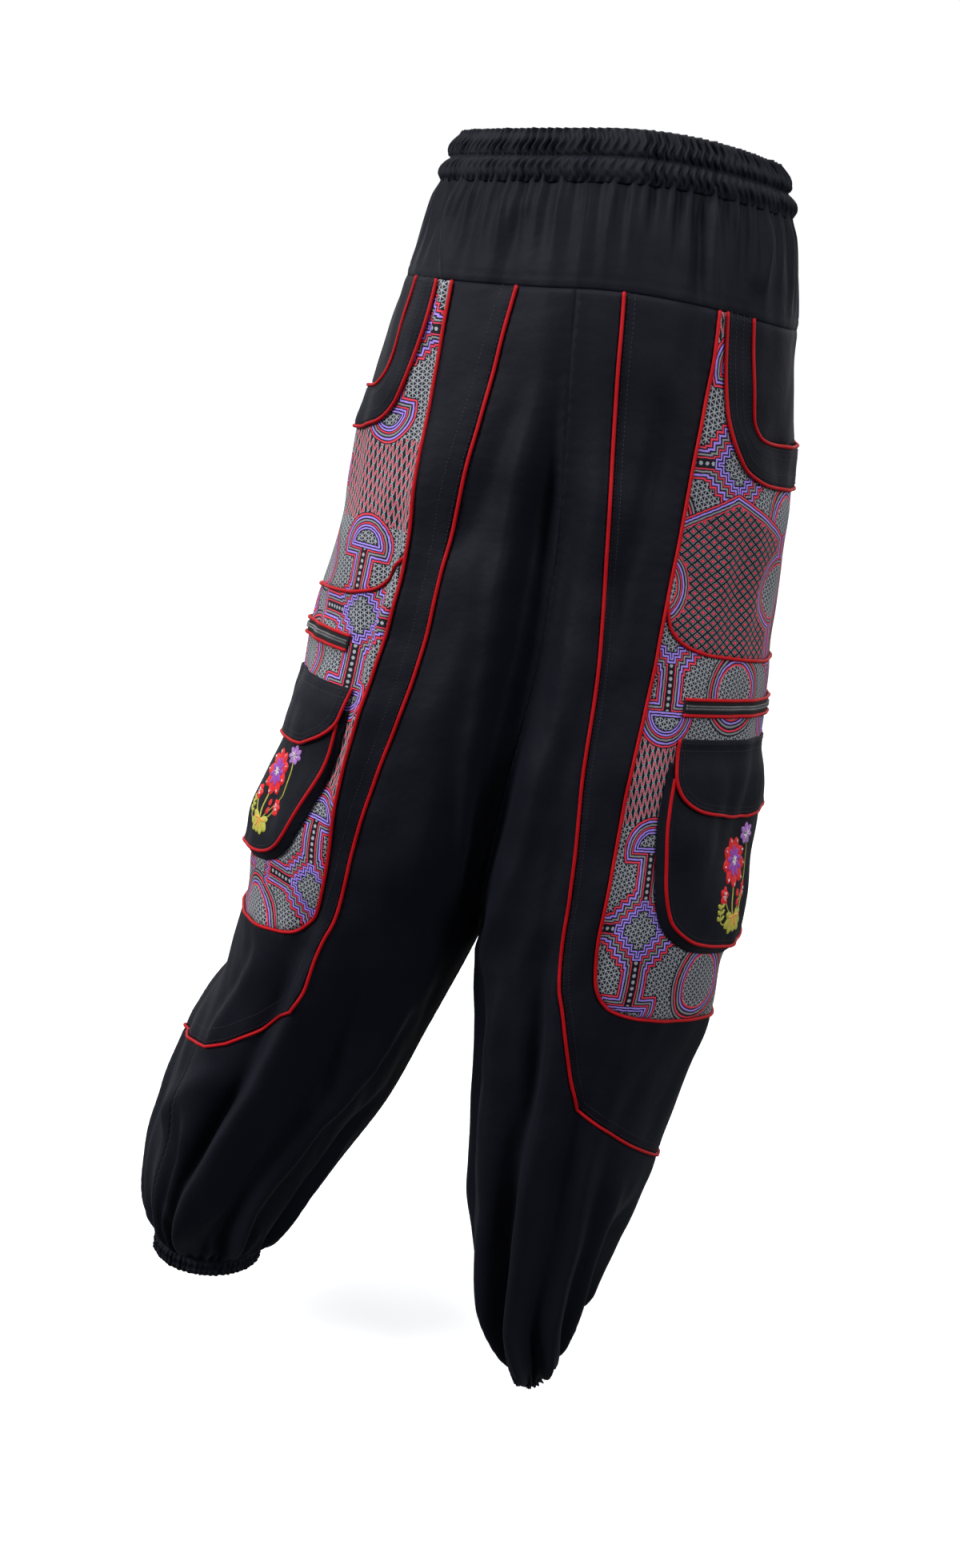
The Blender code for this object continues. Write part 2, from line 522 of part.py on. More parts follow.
def leg_pieces(side):
    sheet = leg_sheet(side)
    name = SIDE_NAME[side]
    join_drop = row_drops()[FRONT_JOIN]
    panels = {
        "back": lambda tags, s, t: "side" not in tags and s.across[t].mean() < 0,
        "front": lambda tags, s, t: ("side" not in tags and s.across[t].mean() > 0
                                     and s.drop[t].mean() < join_drop),
        "front_lower": lambda tags, s, t: ("side" not in tags and s.across[t].mean() > 0
                                           and s.drop[t].mean() > join_drop),
        "side": lambda tags, s, t: "side" in tags and "print" not in tags,
        "hip_panel": lambda tags, s, t: "hip_inner" in tags,
        "print_upper": lambda tags, s, t: "upper" in tags and "hip_inner" not in tags,
        "print_lower": lambda tags, s, t: "print" in tags and "upper" not in tags,
    }
    finishes = {"print_upper": PRINT_CLOTH, "print_lower": PRINT_CLOTH}
    for piece, wanted in panels.items():
        cut_piece(f"{name}_{piece}", sheet, wanted, level(-WALL), level(0.0),
                  finishes.get(piece, BLACK_CLOTH))

    laid, laid_top = level(LAY_GAP), level(LAY_GAP + WALL)
    cut_piece(f"{name}_hip_band", sheet,
              lambda tags, s, t: "hip_outer" in tags and "hip_inner" not in tags,
              laid, laid_top, BLACK_CLOTH)
    cut_piece(f"{name}_zip", sheet, lambda tags, s, t: "zip" in tags, laid, laid_top, ZIP_TAPE)
    pouch(f"{name}_cargo_pocket", sheet, lambda tags, s, t: "cargo" in tags, BLACK_CLOTH)
    cut_piece(f"{name}_cargo_flap", sheet, lambda tags, s, t: "flap" in tags,
              lambda a, d: pocket_face(a, d) + LAY_GAP,
              lambda a, d: pocket_face(a, d) + LAY_GAP + WALL, BLACK_CLOTH)

    on_panel, on_laid = level(LAY_GAP), level(2 * LAY_GAP + WALL)
    zip_at = np.linspace(-ZIP_REACH, ZIP_REACH, round(2 * ZIP_REACH / LINE_STEP) + 1)
    for line, lift in (("side", on_panel), ("print", on_panel), ("upper", on_panel),
                       ("hip_outer", on_laid), ("hip_inner", on_laid)):
        piping(f"{name}_piping_{line}", sheet, OUTLINES[side][line], lift)
    piping(f"{name}_piping_zip_upper", sheet, [(a, ZIP_TOP) for a in zip_at], on_laid, 0, 0)
    piping(f"{name}_piping_zip_lower", sheet, [(a, ZIP_BOTTOM) for a in zip_at], on_laid, 0, 0)
    piping(f"{name}_piping_flap", sheet, pocket_edge(FLAP, side),
           lambda a, d: pocket_face(a, d) + 2 * LAY_GAP + WALL, 0, 0)
    piping(f"{name}_piping_cargo", sheet, pocket_edge(CARGO, side),
           lambda a, d: pocket_face(a, d) + LAY_GAP, FLAP_COVER, FLAP_COVER)


def yoke_piece(name, end):
    """Half of the yoke, from one side seam over the middle to the other."""
    columns = YOKE_WAVES
    shares = np.linspace(0, 1, columns + 1)
    drops = np.array([HALF_GAP * 2, 0.02, 0.045, YOKE_DROP - HALF_GAP])
    points, normals = [], []
    for drop in drops:
        for side, run in ((LEFT, shares), (RIGHT, shares[-2::-1])):
            girth = section(side, np.array(drop)).girth
            across = end * run * girth
            row = cloth(side, across, np.full(len(run), drop))
            row_normal = cloth_normal(side, across, np.full(len(run), drop))
            points += list(row)
            normals += list(row_normal)
    points, normals = np.array(points), np.array(normals)
    width = 2 * columns + 1
    inner = points - normals * WALL
    for row in range(len(drops)):
        for layer in (points, inner):
            layer[row * width, 1] += end * HALF_GAP
            layer[(row + 1) * width - 1, 1] += end * HALF_GAP
    count = len(points)
    faces = []
    for row in range(len(drops) - 1):
        for k in range(width - 1):
            a, b = row * width + k, row * width + k + 1
            faces.append([a, b, b + width, a + width])
            faces.append([a + count, a + width + count, b + width + count, b + count])
        a, b = row * width, row * width + width - 1
        faces.append([a, a + width, a + width + count, a + count])
        faces.append([b, b + count, b + width + count, b + width])
    last = (len(drops) - 1) * width
    for k in range(width - 1):
        faces.append([k, k + count, k + 1 + count, k + 1])
        faces.append([last + k, last + k + 1, last + k + 1 + count, last + k + count])
    made = make_object(name, np.concatenate([points, inner]), faces, BLACK_CLOTH)
    face_out(made)


def gathered_band(name, ring, facing, away, levels, finish):
    """A shirred band: a closed wall that starts at a ring of points and rises along away."""
    columns = len(ring)
    wave = np.where(np.arange(columns) % 2, 1.0, -1.0)[:, None]
    rows = []
    for step in levels:
        rows.append(ring + facing * (step.out + wave * step.gather) + away * step.rise)
    for step in (levels[-1], levels[0]):
        rows.append(ring + facing * BAND_INSIDE + away * step.rise)
    faces = []
    for row in range(len(rows)):
        low, high = row * columns, (row + 1) % len(rows) * columns
        for k in range(columns):
            ahead = (k + 1) % columns
            faces.append([low + k, low + ahead, high + ahead, high + k])
    made = make_object(name, np.concatenate(rows), faces, finish)
    face_out(made)


def plane_normal(ring):
    """The upward normal of a flat ring of points."""
    centred = ring - ring.mean(axis=0)
    normal = np.linalg.svd(centred)[2][2]
    return normal * np.sign(normal[2])


def ring_facing(ring, axis):
    ahead = np.roll(ring, -1, axis=0) - np.roll(ring, 1, axis=0)
    facing = np.cross(ahead, axis)
    facing /= np.linalg.norm(facing, axis=1, keepdims=True)
    outward = ((ring - ring.mean(axis=0)) * facing).sum()
    return facing * np.sign(outward)


def plain_ring(side, drop, shares):
    """A cross-section without its gathers, as the elastic in a band holds it."""
    row = section(side, np.full(len(shares), drop))
    wrap = np.radians(row.wrap)
    half_width = np.abs(row.out_x - row.in_x) / (1 - np.cos(wrap))
    x = row.out_x - side * half_width * (1 - np.cos(wrap * shares))
    y = row.mid_y + row.depth * np.sin(wrap * shares)
    z = (row.in_z + (row.out_z - row.in_z) * (x - row.in_x) / (row.out_x - row.in_x)
         + row.pitch * (y - row.mid_y))
    return np.stack([x, y, z], axis=1)


def waistband():
    shares = np.linspace(-1, 1, BAND_WAVES + 1)[:-1]
    ring = np.concatenate([plain_ring(RIGHT, 0.0, shares), plain_ring(LEFT, 0.0, -shares)])
    axis = plane_normal(ring)
    gathered_band("waistband", ring, ring_facing(ring, axis), axis, WAIST_LEVELS, BLACK_CLOTH)


def cuff(side):
    shares = np.linspace(-1, 1, 2 * CUFF_WAVES + 1)[:-1]
    ring = plain_ring(side, LEG_END, shares)
    axis = plane_normal(ring)
    gathered_band(f"{SIDE_NAME[side]}_cuff", ring, ring_facing(ring, axis), -axis, CUFF_LEVELS,
                  BLACK_CLOTH)


clear_scene()
waistband()
yoke_piece("yoke_back", -1)
yoke_piece("yoke_front", 1)
for leg_side in (LEFT, RIGHT):
    leg_pieces(leg_side)
    cuff(leg_side)
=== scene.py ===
import math
import re
from collections import namedtuple
from functools import reduce

import bpy
import numpy as np
from mathutils import Matrix, Vector
from mathutils.geometry import delaunay_2d_cdt
from mathutils.kdtree import KDTree


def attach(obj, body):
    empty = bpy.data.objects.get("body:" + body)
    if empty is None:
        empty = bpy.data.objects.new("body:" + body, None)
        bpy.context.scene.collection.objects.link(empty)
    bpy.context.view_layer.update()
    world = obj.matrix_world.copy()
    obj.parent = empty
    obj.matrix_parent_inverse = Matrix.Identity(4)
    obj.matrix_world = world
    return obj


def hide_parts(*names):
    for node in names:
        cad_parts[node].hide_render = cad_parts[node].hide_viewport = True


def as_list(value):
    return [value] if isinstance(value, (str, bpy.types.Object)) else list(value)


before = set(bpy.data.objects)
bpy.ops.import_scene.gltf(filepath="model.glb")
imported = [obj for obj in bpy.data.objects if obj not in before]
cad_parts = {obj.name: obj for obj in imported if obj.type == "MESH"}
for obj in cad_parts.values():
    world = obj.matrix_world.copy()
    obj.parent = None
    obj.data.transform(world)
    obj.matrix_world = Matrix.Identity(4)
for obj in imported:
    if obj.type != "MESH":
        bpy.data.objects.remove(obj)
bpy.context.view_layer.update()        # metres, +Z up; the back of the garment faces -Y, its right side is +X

left, right = -1, 1
sideName = {left: "left", right: "right"}

# The cloth of a leg is laid out by two measures, in metres:
# across, from the line down the side, minus towards the back; drop, below the waistband.
garment = {"yokeDrop": 0.085, "forkDrop": 0.62, "legEnd": 0.95, "thickness": 0.0011,
           "waistBow": 1.2, "bowOver": (0.02, 0.20), "seamEase": 0.03, "cuffEase": 0.045,
           "meshStep": 0.0034, "edgeStep": 0.0030, "rowSpace": 0.87, "edgeRoom": 0.55,
           "footDensity": 1.6, "legGap": 0.0008, "facingHold": 12, "innerHold": 26}
yokeDrop, legEnd, edgeStep = garment["yokeDrop"], garment["legEnd"], garment["edgeStep"]

# The tables below are in millimetres and degrees.
# A section is the cloth at one drop: its outer and inner lines (x, z), half its depth and where the
# middle of that lies, how far round each half goes (180 closes a leg), how far the side line is
# turned to the front, the slope of its rows from back to front, and half its length.
Section = namedtuple("Section", "drop outX outZ inX inZ depth midY wrap turn pitch girth")
sectionUnits = np.array([1000.0] * 7 + [1.0, 1.0, 1.0, 1000.0])
sections = {right: [
    (0, 130, -10, 0, 8, 98, 0, 90, 0, 0, 182),
    (85, 142, -96, -2, -71, 116, 0, 90, -4, 0, 208),
    (200, 144, -208, -6, -200, 127, 2, 92, -6, -0.05, 226),
    (340, 139, -346, -18, -335, 128, 2, 102, -10, -0.11, 255),
    (460, 138, -459, -46, -452, 127, 0, 122, -14, -0.12, 290),
    (560, 127, -557, -74, -550, 123, 0, 152, -13, -0.12, 325),
    (620, 112, -623, -89, -603, 119, 0, 180, -5, -0.12, 345),
    (700, 93, -701, -89, -686, 112, 0, 180, -5, -0.1, 335),
    (770, 75, -772, -91, -759, 106, 0, 180, -6, -0.05, 320),
    (830, 60, -834, -93, -823, 100, 0, 180, -4, 0.05, 305),
    (885, 36, -888, -82, -883, 85, 0, 180, 0, 0.32, 290),
    (925, 16, -925, -57, -921, 62, 0, 180, 4, 0.74, 280),
    (950, -3, -948, -41, -946, 40, 0, 180, 6, 1.25, 275),
], left: [
    (0, -131, 12, 0, 8, 98, 0, 90, 0, 0, 182),
    (85, -160, -63, -2, -71, 116, 0, 90, -2, 0, 208),
    (200, -195, -175, -6, -200, 127, 2, 92, -3, -0.05, 226),
    (340, -225, -310, -18, -335, 128, 2, 102, -8, -0.11, 255),
    (460, -256, -415, -46, -452, 127, 0, 122, -11, -0.12, 290),
    (560, -279, -503, -74, -550, 123, 0, 152, -12, -0.12, 325),
    (620, -289, -558, -89, -603, 119, 0, 180, -8, -0.12, 345),
    (700, -313, -638, -131, -690, 112, 0, 180, -30, -0.14, 335),
    (770, -350, -711, -168, -766, 106, 0, 180, -48, -0.16, 320),
    (830, -379, -784, -212, -834, 98, 0, 180, -54, -0.12, 305),
    (885, -395, -852, -249, -890, 84, 0, 180, -56, -0.06, 290),
    (925, -391, -900, -276, -920, 60, 0, 180, -58, -0.02, 280),
    (950, -387, -927, -296, -936, 42, 0, 180, -60, 0, 275),
]}
sections = {side: np.array(rows) / sectionUnits for side, rows in sections.items()}

# A crease runs through its points (across, drop): a ridge, or with a minus height a trough.
# Its lean says which flank is steep: 1 the one towards the front, -1 the one towards the back.
# Each row is width, height, lean, points.
creases = {left: [
    (14, 8.5, 0.9, [(-128, 90), (-141, 200), (-143, 260), (-140, 360), (-152, 460), (-160, 560)]),
    (13, -24, 0.7, [(-214, 100), (-217, 190), (-222, 250), (-231, 310), (-246, 380), (-270, 450),
     (-300, 520), (-322, 600)]),
    (20, 6, -0.4, [(-180, 200), (-192, 300), (-212, 400), (-236, 500), (-250, 600)]),
    (11, -5, 0.2, [(-196, 120), (-186, 220), (-178, 300)]),
    (16, 16, 0.9, [(-180, 580), (-162, 648), (-130, 696), (-98, 752), (-76, 800), (-51, 868),
     (-42, 950)]),
    (13, -13, -0.4, [(-206, 640), (-171, 756), (-147, 800), (-120, 852), (-95, 950)]),
    (16, 10, -0.6, [(-300, 660), (-263, 680), (-246, 712), (-177, 784), (-162, 828), (-139, 864),
     (-125, 950)]),
    (10, 5, 0.5, [(-100, 650), (-30, 736), (-14, 770)]),
    (14, 6, 0, [(-50, 768), (0, 808), (36, 840)]),
    (10, -11, 0.3, [(-94, 740), (-50, 808), (-40, 868), (-18, 950)]),
    (9, 9, 0.6, [(-18, 800), (-29, 845), (-24, 885), (-2, 950)]),
    (12, -10, 0, [(-300, 740), (-240, 830), (-190, 950)]),
    (12, 8, 0.5, [(-290, 790), (-235, 870), (-215, 950)]),
    (8, -6, 0, [(-110, 870), (-86, 900), (-70, 950)]),
    (7, 5, 0.3, [(-165, 880), (-158, 910), (-150, 950)]),
    (15, 10, -0.5, [(70, 660), (85, 760), (75, 860), (60, 950)]),
    (13, -11, 0, [(115, 640), (122, 740), (108, 860), (90, 950)]),
    (17, 12, 0.7, [(170, 580), (168, 720), (150, 840), (125, 950)]),
    (15, -12, 0, [(235, 600), (220, 740), (190, 860), (165, 950)]),
    (16, 9, -0.5, [(285, 680), (255, 800), (215, 950)]),
    (16, 8, -0.8, [(130, 100), (148, 240), (156, 400), (158, 540)]),
    (22, -9, 0, [(195, 150), (215, 320), (240, 500)]),
    (7, 5, 0.5, [(-66, -30), (-85, 40), (-110, 85), (-122, 150)]),
    (6, -4, 0, [(-58, -30), (-75, 40), (-99, 90)]),
    (10, -3, 0, [(-150, 20), (-152, 60), (-160, 100)]),
    (7, 4, 0, [(80, -30), (100, 60), (115, 130)]),
], right: [
    (18, -7, 0.3, [(-196, 100), (-209, 212), (-230, 272), (-243, 350), (-252, 460)]),
    (12, -6, 0, [(-146, 120), (-149, 188), (-164, 244), (-176, 290), (-180, 360)]),
    (13, -4, -0.4, [(-220, 360), (-214, 460), (-206, 560), (-200, 640)]),
    (22, 8, 0.4, [(-232, 380), (-252, 520), (-270, 640)]),
    (13, -15, 0.4, [(-200, 540), (-188, 656), (-186, 760), (-179, 832), (-178, 892), (-184, 950)]),
    (13, 11, -0.8, [(-172, 600), (-159, 764), (-153, 844), (-162, 950)]),
    (11, -8, 0.3, [(-132, 680), (-119, 816), (-124, 950)]),
    (11, 7, -0.6, [(-104, 720), (-94, 836), (-100, 950)]),
    (9, -7, 0, [(-80, 740), (-72, 850), (-80, 950)]),
    (12, 6, 0.5, [(-58, 760), (-56, 860), (-62, 950)]),
    (15, 11, 0.7, [(-245, 580), (-230, 690), (-215, 760), (-202, 816), (-196, 950)]),
    (14, -12, 0, [(-282, 600), (-268, 740), (-245, 860), (-225, 950)]),
    (14, -7, 0, [(-30, 790), (-34, 870), (-36, 950)]),
    (12, 3, -0.4, [(-6, 800), (-6, 870), (-10, 950)]),
    (32, 7.2, 0, [(4, 590), (4, 700), (4, 840)]),
    (12, -7, 0, [(30, 760), (32, 850), (34, 950)]),
    (15, 10, 0.5, [(64, 680), (68, 820), (70, 950)]),
    (13, -10, 0, [(105, 670), (108, 800), (104, 950)]),
    (16, 12, -0.6, [(160, 600), (158, 760), (146, 950)]),
    (15, -13, 0, [(215, 580), (208, 740), (186, 950)]),
    (16, 9, 0.5, [(270, 640), (255, 800), (225, 950)]),
    (16, 6, -0.7, [(140, 120), (152, 260), (160, 420)]),
    (20, -8, 0, [(200, 160), (222, 330), (245, 500)]),
    (7, 5, -0.4, [(-98, -30), (-103, 40), (-108, 85), (-112, 150)]),
    (6, -4, 0, [(-109, -30), (-115, 40), (-120, 90)]),
    (10, 4, 0, [(-48, -30), (-56, 30), (-70, 75)]),
    (6, 4, 0, [(60, -30), (70, 60), (80, 130)]),
]}
creaseShape = {"fadeIn": 0.30, "fadeOut": 0.78, "openBelow": 0.94, "leanReach": 0.008, "power": 1.85,
               "leanShare": 0.5, "hollow": 0.4, "hollowAt": 1.5, "hollowWidth": 0.75}
# the pocket's weight draws the outer side in: how deep, round which drop, how far down and across
sunk = {left: (0.0120, 0.487, 0.066, 0.10), right: (0.0110, 0.484, 0.068, 0.10)}
middleTrough = {"width": 0.016, "depth": 0.014, "start": (0.10, 0.30), "end": (0.50, 0.66), "front": 0.6}
gather = {"yokeWaves": 44, "yokeHeight": 0.0028, "yokeFade": 1.05, "yokeUneven": 0.45,
          "yokeWander": 0.9, "between": 0.5, "betweenFade": 2.2, "betweenWaves": 0.9,
          "pleatHeight": 0.0021, "pleatFade": 3, "pleatWaves": 2.6, "pleatWander": 1.7,
          "nearBand": 0.42, "nearBandOver": (0.005, 0.020),
          "cuffFolds": 12, "foldHeight": 0.0075, "foldFade": 1.5, "foldOver": (0.03, 0.25),
          "foldWander": 1.3, "foldStart": 0.6, "cuffReach": 0.13,
          "blouse": 0.0042, "blouseOver": (0.0, 0.16), "blouseEnd": (0.20, 0.75),
          "settle": 0.0045, "settleOver": (0.58, 0.76),
          "fineWaves": 34, "fineHeight": 0.0042, "fineFade": 1.4, "fineReach": 0.075,
          "fineAtCuff": 0.4, "fineOver": (0.0, 0.12), "fineEven": 0.75, "fineUneven": 0.5,
          "fineWander": 2.0}
unevenness = {"seed": 11, "waves": 18, "shortest": 0.024, "longest": 0.110, "share": 0.0062, "slant": 0.6}

rng = np.random.default_rng(unevenness["seed"])
waveLengths = np.geomspace(unevenness["shortest"], unevenness["longest"], unevenness["waves"])
waveTurns = rng.uniform(0, math.pi, unevenness["waves"])
wavePhases = rng.uniform(0, 2 * math.pi, (2, unevenness["waves"]))

# edges of the pieces: one half, from the top to the line down the side; the other is its mirror
cuts = {left: {
    "side": [(168, 85), (169, 145), (173, 300), (182, 440), (182, 560), (170, 625), (151, 668),
     (131, 693)],
    "hipOuter": [(103, 85), (105, 115), (103, 150), (96, 176), (78, 197), (45, 205), (0, 207)],
    "hipInner": [(73, 85), (73, 125), (71, 155), (60, 169), (40, 172), (0, 174)],
    "sideTip": [(131, 693), (86, 724), (46, 748), (21, 760), (0, 765)],
    "print": [(117, 85), (124, 120), (131, 165), (141, 235), (145, 300), (149, 410), (155, 500),
     (161, 570), (155, 612), (134, 634), (90, 643), (0, 650)],
}, right: {
    "side": [(174, 85), (181, 145), (191, 300), (194, 440), (182, 575), (163, 635), (145, 685),
     (129, 715)],
    "hipOuter": [(98, 85), (98, 115), (95, 148), (87, 172), (70, 193), (40, 203), (0, 206)],
    "hipInner": [(71, 85), (70, 120), (67, 154), (55, 168), (38, 171), (0, 173)],
    "sideTip": [(129, 715), (59, 748), (0, 774)],
    "print": [(105, 85), (110, 130), (122, 200), (135, 300), (146, 410), (152, 500), (149, 570),
     (141, 607), (122, 627), (86, 634), (0, 641)],
}, "both": {
    "upper": [(130, 315), (112, 330), (85, 336), (0, 340)],
    "flap": [(115, 412), (114, 438), (104, 458), (82, 470), (0, 478)],
    "cargo": [(112, 432), (116, 480), (111, 520), (96, 560), (66, 578), (0, 587)],
}}
upperStart = 0.295               # drop at which the upper print's edge leaves the border


def pairs(first, second):
    return np.stack(np.broadcast_arrays(first, second), axis=-1)


def unit(vectors):
    return vectors / np.linalg.norm(vectors, axis=-1, keepdims=True)


def lengthsAlong(points):
    return np.concatenate([[0], np.cumsum(np.linalg.norm(np.diff(points, axis=0), axis=1))])


def smoothCurve(knots, values, at):              # through the values, never past them
    step = np.diff(knots)
    slope = np.diff(values) / step
    bend = np.zeros(len(values))
    product = slope[:-1] * slope[1:]
    together = np.where(product > 0, slope[:-1] + slope[1:], 1.0)
    bend[1:-1] = np.where(product > 0, 2 * product / together, 0.0)
    bend[0], bend[-1] = slope[0], slope[-1]
    place = np.clip(np.searchsorted(knots, at, side="right") - 1, 0, len(step) - 1)
    u = (at - knots[place]) / step[place]
    return (values[place] * (1 + 2 * u) * (1 - u) ** 2 + values[place + 1] * u * u * (3 - 2 * u)
            + step[place] * (bend[place] * u * (1 - u) ** 2 + bend[place + 1] * u * u * (u - 1)))


def sectionAt(side, drop):
    table = sections[side]
    row = Section(drop, *(smoothCurve(table[:, 0], column, drop) for column in table.T[1:]))
    fork = garment["forkDrop"]
    parts = table[table[:, 0] <= fork], table[table[:, 0] >= fork]
    middle = {}
    for name in ("inX", "inZ"):                  # both legs share the middle above the fork
        k = Section._fields.index(name)
        middle[name] = np.where(drop < fork, *(smoothCurve(part[:, 0], part[:, k], drop)
                                               for part in parts))
    return row._replace(**middle)


def soft(value, low, high):                      # 0 below low, 1 above high, smooth between
    u = np.clip((value - low) / (high - low), 0, 1)
    return u * u * (3 - 2 * u)


def alongPath(points, across, drop):             # signed distance from a crease, place along it
    steps, passed = np.diff(points, axis=0), lengthsAlong(points)
    lengths = np.diff(passed)
    runA, runD = (steps / lengths[:, None]).T
    fromA, fromD = across[..., None] - points[:-1, 0], drop[..., None] - points[:-1, 1]
    t = np.clip(fromA * runA + fromD * runD, 0, lengths)
    away = np.hypot(fromA - t * runA, fromD - t * runD)
    signed = away * np.sign(fromA * runD - fromD * runA)
    closest = away.argmin(axis=-1)[..., None]
    return (np.take_along_axis(values, closest, axis=-1)[..., 0]
            for values in (signed, (passed[:-1] + t) / passed[-1]))


def creaseHeight(side, across, drop):
    c = creaseShape
    total = np.zeros(np.shape(across))
    for width, height, lean, path in creases[side]:
        width, height, points = width / 1000, height / 1000, np.array(path) / 1000
        away, place = alongPath(points, across, drop)
        fade = soft(place, c["fadeOut"], 1.0) * (points[-1, 1] < c["openBelow"])
        flank = width * (1 - c["leanShare"] * lean * np.tanh(away / c["leanReach"]))
        profile = np.exp(-np.abs(away / flank) ** c["power"])
        beyond = (away - lean * c["hollowAt"] * width) / (c["hollowWidth"] * width)
        profile -= c["hollow"] * abs(lean) * np.exp(-beyond ** 2)
        total += height * (soft(place, 0.0, c["fadeIn"]) * (1 - fade)) * profile
    return total


def oddWave(around, slow, quick, start=0):       # it keeps the gathers from repeating
    return np.sin(slow * around + start) * np.sin(quick * around)


def gatherHeight(side, share, drop):
    g = gather
    around = math.pi * (share + 1)
    fade = np.clip(1 - drop / yokeDrop, 0, 1) ** g["yokeFade"]
    uneven = 1 + g["yokeUneven"] * oddWave(around, 3, 7)
    phase = around * g["yokeWaves"] / 2 + g["yokeWander"] * oddWave(around, 2, 5)
    between = np.cos(around * g["yokeWaves"] * g["betweenWaves"])
    pleats = np.cos(g["pleatWaves"] * phase + g["pleatWander"] * np.sin(4 * around))
    height = fade * g["yokeHeight"] * uneven * np.cos(phase)
    height += g["between"] * fade ** g["betweenFade"] * g["yokeHeight"] * between
    height += fade ** g["pleatFade"] * g["pleatHeight"] * pleats
    height *= g["nearBand"] + (1 - g["nearBand"]) * soft(drop, *g["nearBandOver"])
    up = np.clip((legEnd - drop) / g["cuffReach"], 0, 1)
    height += g["blouse"] * soft(up, *g["blouseOver"]) * (1 - soft(up, *g["blouseEnd"]))
    folds = (1 - up) ** g["foldFade"] * g["foldHeight"] * soft(up, *g["foldOver"])
    wander = g["foldStart"] * side + g["foldWander"] * oddWave(around, 2, 3, side)
    height += folds * np.cos(around * g["cuffFolds"] + wander)
    up = np.clip((legEnd - drop) / g["fineReach"], 0, 1)
    fine = g["fineAtCuff"] + (1 - g["fineAtCuff"]) * soft(up, *g["fineOver"])
    fine *= (1 - up) ** g["fineFade"] * g["fineHeight"]
    fine *= g["fineEven"] + g["fineUneven"] * oddWave(around, 5, 11, side)
    return height + fine * np.cos(around * g["fineWaves"] + g["fineWander"] * np.sin(4 * around))


def slackHeight(side, across, drop):             # the slight unevenness of worn cotton
    total = np.zeros(np.shape(across))
    for length, turn, phase in zip(waveLengths, waveTurns, wavePhases[(side + 1) // 2]):
        run = across * math.cos(turn) + drop * math.sin(turn) * unevenness["slant"]
        total += unevenness["share"] * length * np.sin(2 * math.pi * run / length + phase)
    return total


def troughHeight(row, across, drop):             # the long trough down the middle of the back
    fade = soft(drop, *middleTrough["start"]) * (1 - soft(drop, *middleTrough["end"]))
    away = np.minimum(row.girth + across, row.girth - across)
    behind = np.where(across < 0, 1.0, middleTrough["front"])
    return -middleTrough["depth"] * behind * fade * np.exp(-(away / middleTrough["width"]) ** 2)


def rowHeight(row, drop, outward):               # the waist is level behind, and falls to the sides
    bow = 1 + garment["waistBow"] * (1 - soft(drop, *garment["bowOver"]))
    return row.inZ + (row.outZ - row.inZ) * np.sign(outward) * np.abs(outward) ** bow


def clothAt(side, across, drop):
    across, drop = np.broadcast_arrays(np.asarray(across, float), np.asarray(drop, float))
    row = sectionAt(side, drop)
    share = across / row.girth
    wrap = np.radians(row.wrap)
    angle = wrap * share + np.radians(row.turn) * (1 - share ** 2)
    inX = row.inX + side * -np.cos(wrap).clip(-1, 0) * garment["legGap"]
    halfWidth = np.abs(row.outX - inX) / (1 - np.cos(wrap))
    facing = np.stack([side * np.cos(angle) / halfWidth, np.sin(angle) / row.depth])
    facing /= np.linalg.norm(facing, axis=0)
    facing[0] = facing[0] * (1 - share ** garment["facingHold"])
    depth, middle, reach, wide = sunk[side]
    creased = (creaseHeight(side, across, drop) + slackHeight(side, across, drop)
               - gather["settle"] * soft(drop, *gather["settleOver"])
               - depth * np.exp(-((drop - middle) / reach) ** 2 - (across / wide) ** 2))
    creased *= soft(drop, 0.0, garment["seamEase"]) * soft(legEnd - drop, 0.0, garment["cuffEase"])
    swell = (creased + gatherHeight(side, share, drop)) * (1 - share ** garment["innerHold"])
    swell += troughHeight(row, across, drop)
    x = row.outX - side * halfWidth * (1 - np.cos(angle)) + facing[0] * swell
    y = row.midY + row.depth * np.sin(angle) + facing[1] * swell
    z = rowHeight(row, drop, (x - inX) / (row.outX - inX)) + row.pitch * (y - row.midY)
    return np.stack([x, y, z], axis=-1)


def normalAt(side, across, drop):
    across, drop = np.asarray(across, float), np.asarray(drop, float)
    girth = sectionAt(side, drop).girth
    reach = 0.0015
    alongA = (clothAt(side, np.minimum(across + reach, girth), drop)
              - clothAt(side, np.maximum(across - reach, -girth), drop))
    alongD = (clothAt(side, across, np.minimum(drop + reach, legEnd))
              - clothAt(side, across, np.maximum(drop - reach, 0)))
    return unit(np.cross(alongA, alongD) * -side)


def onCloth(side, across, drop, lift):           # points lifted off the cloth, and its normals
    normals = normalAt(side, across, drop)
    lift = np.broadcast_to(lift, across.shape)[..., None]
    return clothAt(side, across, drop) + normals * lift, normals


def resampled(points, step, smooth):
    points = np.array(points, float)
    length = lengthsAlong(points)
    if smooth:
        at = np.linspace(0, length[-1], max(2, round(length[-1] / step)) + 1)
        return pairs(*(smoothCurve(length, column, at) for column in points.T))
    runs = [np.linspace(a, b, max(1, round((b - a) / step)) + 1)[:-1]
            for a, b in zip(length[:-1], length[1:])]
    at = np.append(np.concatenate(runs), length[-1])
    return pairs(*(np.interp(at, length, column) for column in points.T))


